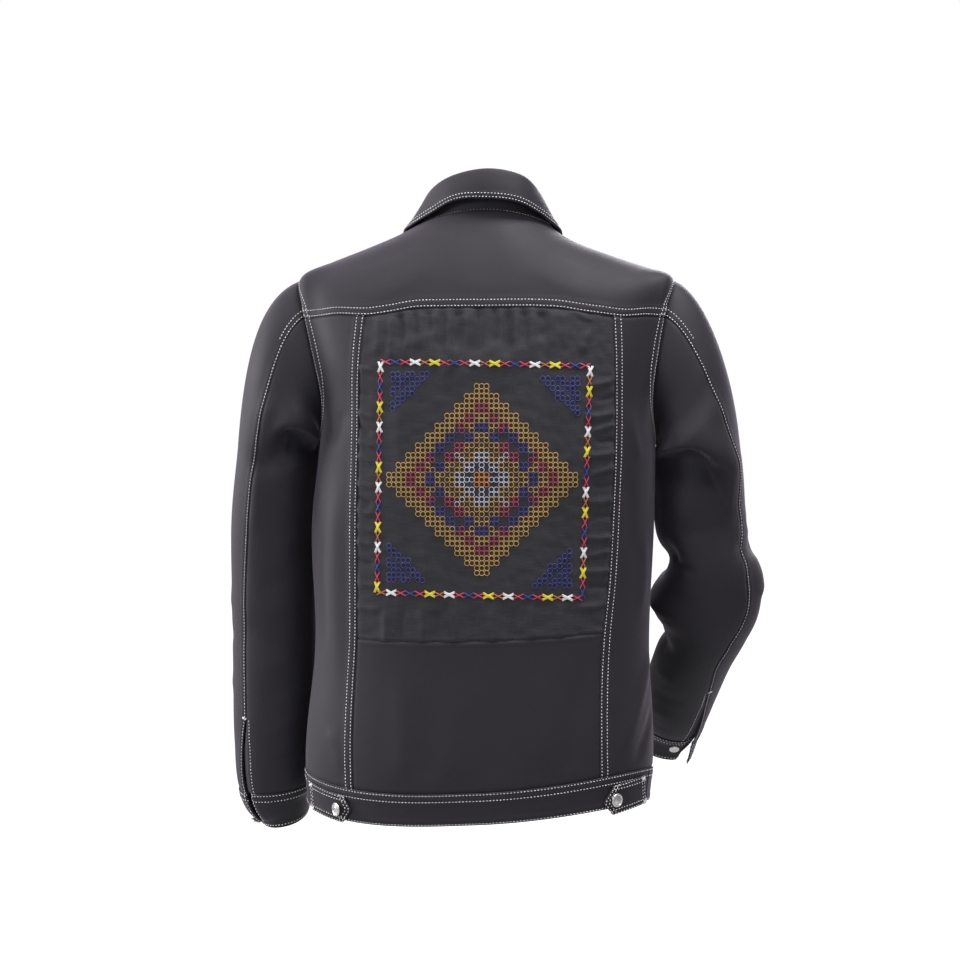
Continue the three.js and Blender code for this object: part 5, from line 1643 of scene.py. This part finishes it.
def corner_rings(middle, corners):
    """Places and steps of the navy rings in the corners of the border."""
    for corner, (sx, sy) in zip(corners, ((1, 1), (-1, 1), (-1, -1), (1, -1))):
        x, _, y = corner - middle
        for i in range(CORNER_RINGS):
            for j in range(CORNER_RINGS - i):
                if (i + j) % 3 != 2 or i == j:
                    yield (x - sx * (CORNER_INSET + i * RING_PITCH),
                           y - sy * (CORNER_INSET + j * RING_PITCH), i + j, NAVY)


def make_rings(surface, corners):
    """A stepped lozenge of linked rings with a star at its heart, and navy steps in the corners."""
    middle = sum(corners) / 4
    chart = range(-RING_REACH, RING_REACH + 1)
    cells = [(i * RING_PITCH, j * RING_PITCH, i + j, ring_shade(i, j)) for i in chart for j in chart]
    across, up_cloth = np.array([1.0, 0, 0]), np.array([0, 0, 1.0])
    rows = []
    for x, y, order, shade in cells + list(corner_rings(middle, corners)):
        if shade is None:
            continue
        at, up = on_panel(surface, middle + np.array([x, 0, y]))
        tilt = RING_TILT * across if order % 2 else -RING_TILT * up_cloth
        rows.append((at + up * RING_LIFT, unit(across - up * up[0]), unit(up + tilt), shade))
    values = {"Radius": RING_RADIUS * MM, "Thread": RING_THREAD * MM}
    bake_tree("ring_embroidery", point_mesh("ring_points", rows), make_ring_tree(), values)


def make_embroidery():
    surface = surface_of("back_centre_upper")
    corners = [place_on_body(*corner) for corner in FRAME_CORNERS]
    make_border(surface, corners)
    make_rings(surface, corners)


# ---------------------------------------------------------------- buttons
# Half of a tack button's outline, from the middle of its foot to the middle of its face: shares of
# its radius and height.
BUTTON_OUTLINE = (
    (0, 0), (0.6, 0), (0.64, 0.06), (0.94, 0.4), (1, 0.56), (0.985, 0.74), (0.93, 0.92), (0.86, 1),
    (0.8, 0.98), (0.76, 0.86), (0.72, 0.76), (0.68, 0.74), (0.62, 0.8), (0.5, 0.87), (0.34, 0.9),
    (0.3, 0.97), (0.24, 1.0), (0.14, 1.02), (0, 1.03),
)
BUTTON_RADIUS, TAB_BUTTON_RADIUS, CUFF_BUTTON_RADIUS = 8.5, 7.7, 6.2
BUTTON_HIGH, BUTTON_SIDES, BUTTON_LIFT = 3.4, 56, 0.4
CUFF_BUTTON = {LEFT: (0.965, upper_edge(LEFT, 0.97) - 14), RIGHT: (0.955, back_seam(RIGHT, 0.97) + 15)}


def make_button(name, point, normal, radius=BUTTON_RADIUS):
    """Tack button turned in one piece: foot, rim, groove, dished face and centre boss."""
    outline = np.array(BUTTON_OUTLINE) * (radius, BUTTON_HIGH)
    turn = np.arange(BUTTON_SIDES) * math.tau / BUTTON_SIDES
    rings = [np.stack([r * np.cos(turn), r * np.sin(turn), z + 0 * turn], -1) for r, z in outline[1:-1]]
    points = np.concatenate([[[0, 0, outline[0, 1]]], *rings, [[0, 0, outline[-1, 1]]]])
    top, last = 1 + (len(rings) - 1) * BUTTON_SIDES, len(points) - 1
    faces = []
    for k in range(BUTTON_SIDES):
        after = (k + 1) % BUTTON_SIDES
        faces.append((0, 1 + after, 1 + k))
        for a in range(1, top, BUTTON_SIDES):
            b = a + BUTTON_SIDES
            faces.append((a + k, a + after, b + after, b + k))
        faces.append((top + k, top + after, last))
    turned = Vector((0, 0, 1)).rotation_difference(Vector(normal)).to_matrix()
    placed = points @ np.array(turned).T + point + np.asarray(normal) * BUTTON_LIFT
    mesh = bpy.data.meshes.new(name)
    mesh.from_pydata((placed * MM).tolist(), [], faces)
    mesh.materials.append(METAL)
    keep_piece(name + "_metal", mesh, name)


def make_buttons():
    lean = math.tan(math.radians(TAB_LEAN)) * np.array([1, -0.6, 0])
    for side, name in SIDES:
        angle, level = side * TAB_BUTTON[side][0], TAB_BUTTON[side][1]
        normal = unit(torso_normal(angle, level) + side * lean)
        point = torso(angle, level, TAB_OUT + TAB_BUTTON_OUT)
        make_button("tab_button_" + name, point, normal, TAB_BUTTON_RADIUS)
    on_placket = LAY + CLOTH + PLACKET_BUTTON_OUT
    fronts = [(f"front_button_{i + 1}", level, on_placket) for i, level in enumerate(PLACKET_BUTTONS)]
    for name, level, out in (*fronts, ("waistband_button", WAIST_BUTTON, TAB_OUT)):
        angle = float(angle_of(0, level, True))
        make_button(name, torso(angle, level, out), torso_normal(angle, level))
    for side, name in SIDES:
        run, turn = (np.asarray(value, float) for value in CUFF_BUTTON[side])
        normal = sleeve_normal(side, run, turn)
        point = smooth_sleeve(side, run, turn) + normal * BAND_OUT
        make_button("cuff_button_" + name, point, normal, CUFF_BUTTON_RADIUS)


# ---------------------------------------------------------------- studio, in metres
JACKET_MIDDLE = (0, 0, -0.306)
CAMERA_TURN = math.radians(3)
CAMERA_LENS, SENSOR, CAMERA_AWAY, CAMERA_ASIDE = 84.78, 36, 2.6, 0.0115
SKY_LIGHT, FLOOR_LIGHT = 0.275, 0.02  # what they give where they aren't seen
LAMP_AIM = (0, 0, -0.3)
# Place, width and power of each lamp.
LAMPS = {
    "key": ((2.1, 1.9, 0.6), 0.8, 27),
    "side": ((2.7, -0.3, 0.4), 1.1, 72),
    "top_left": ((0.6, 0.85, 1.9), 0.9, 20),
    "top_right": ((-0.75, 0.4, 1.8), 0.8, 48),
    "right": ((-1.4, 1.6, 1.5), 1.0, 19),
    "fill": ((-0.3, 2.6, 0.1), 1.5, 6),
    "front": ((-0.6, -2.4, 0.9), 1.6, 55),
}
FLOOR_FAR, FLOOR_LEVEL = 30.0, -1.15
FLOOR_GREY = (0.35, 0.35, 0.35, 1)
WHITE_LIGHT = (1, 1, 1, 1)


def set_up(name, data, place, ahead):
    """Adds a lamp or a camera at a place, facing ahead."""
    item = bpy.data.objects.new(name, data)
    item.location = place
    item.rotation_mode = "QUATERNION"
    item.rotation_quaternion = ahead.to_track_quat("-Z", "Y")
    bpy.context.scene.collection.objects.link(item)
    return item


def bright_to_camera(n, node, key, strength):
    """Gives a node's light one strength, and full strength where the camera sees it."""
    seen = n.add("ShaderNodeLightPath").outputs["Is Camera Ray"]
    n.feed(node, key, n.ramp(seen, 0.0, 1.0, strength))


def make_camera():
    camera = bpy.data.cameras.new("camera")
    camera.lens = CAMERA_LENS
    camera.sensor_width = SENSOR
    ahead = Vector((math.sin(CAMERA_TURN), -math.cos(CAMERA_TURN), 0))
    aside = Vector((math.cos(CAMERA_TURN), math.sin(CAMERA_TURN), 0))
    place = Vector(JACKET_MIDDLE) - ahead * CAMERA_AWAY + aside * CAMERA_ASIDE
    bpy.context.scene.camera = set_up("camera", camera, place, ahead)


def make_lights():
    world = bpy.data.worlds.new("studio")
    world.use_nodes = True
    background = world.node_tree.nodes["Background"]
    background.inputs["Color"].default_value = WHITE_LIGHT
    bright_to_camera(Nodes(world.node_tree), background, "Strength", SKY_LIGHT)
    bpy.context.scene.world = world
    for name, (place, width, watts) in LAMPS.items():
        light = bpy.data.lights.new(name, "AREA")
        light.shape = "DISK"
        light.size = width
        light.energy = watts
        set_up(name, light, place, Vector(LAMP_AIM) - Vector(place))


def make_floor():
    material, n, shader = new_material("pale_floor", {
        "Base Color": FLOOR_GREY, "Roughness": 0.8, "Emission Color": WHITE_LIGHT,
    })
    bright_to_camera(n, shader, "Emission Strength", FLOOR_LIGHT)
    corners = [(x * FLOOR_FAR, y * FLOOR_FAR, FLOOR_LEVEL) for x, y in ((-1, -1), (1, -1), (1, 1), (-1, 1))]
    mesh = bpy.data.meshes.new("floor")
    mesh.from_pydata(corners, [], [(0, 1, 2, 3)])
    mesh.materials.append(material)
    floor = bpy.data.objects.new("floor", mesh)
    bpy.context.scene.collection.objects.link(floor)


def both_sides(make):
    for side, name in SIDES:
        make(side, name)


make_yoke()
make_back()
both_sides(make_side_back)
both_sides(make_front)
make_placket()
make_waistband()
both_sides(make_tab)
make_collar()
both_sides(make_sleeve)
both_sides(make_cuff)
make_topstitching()
make_embroidery()
make_buttons()
bpy.context.scene.view_settings.view_transform = "Standard"
make_camera()
make_lights()
make_floor()
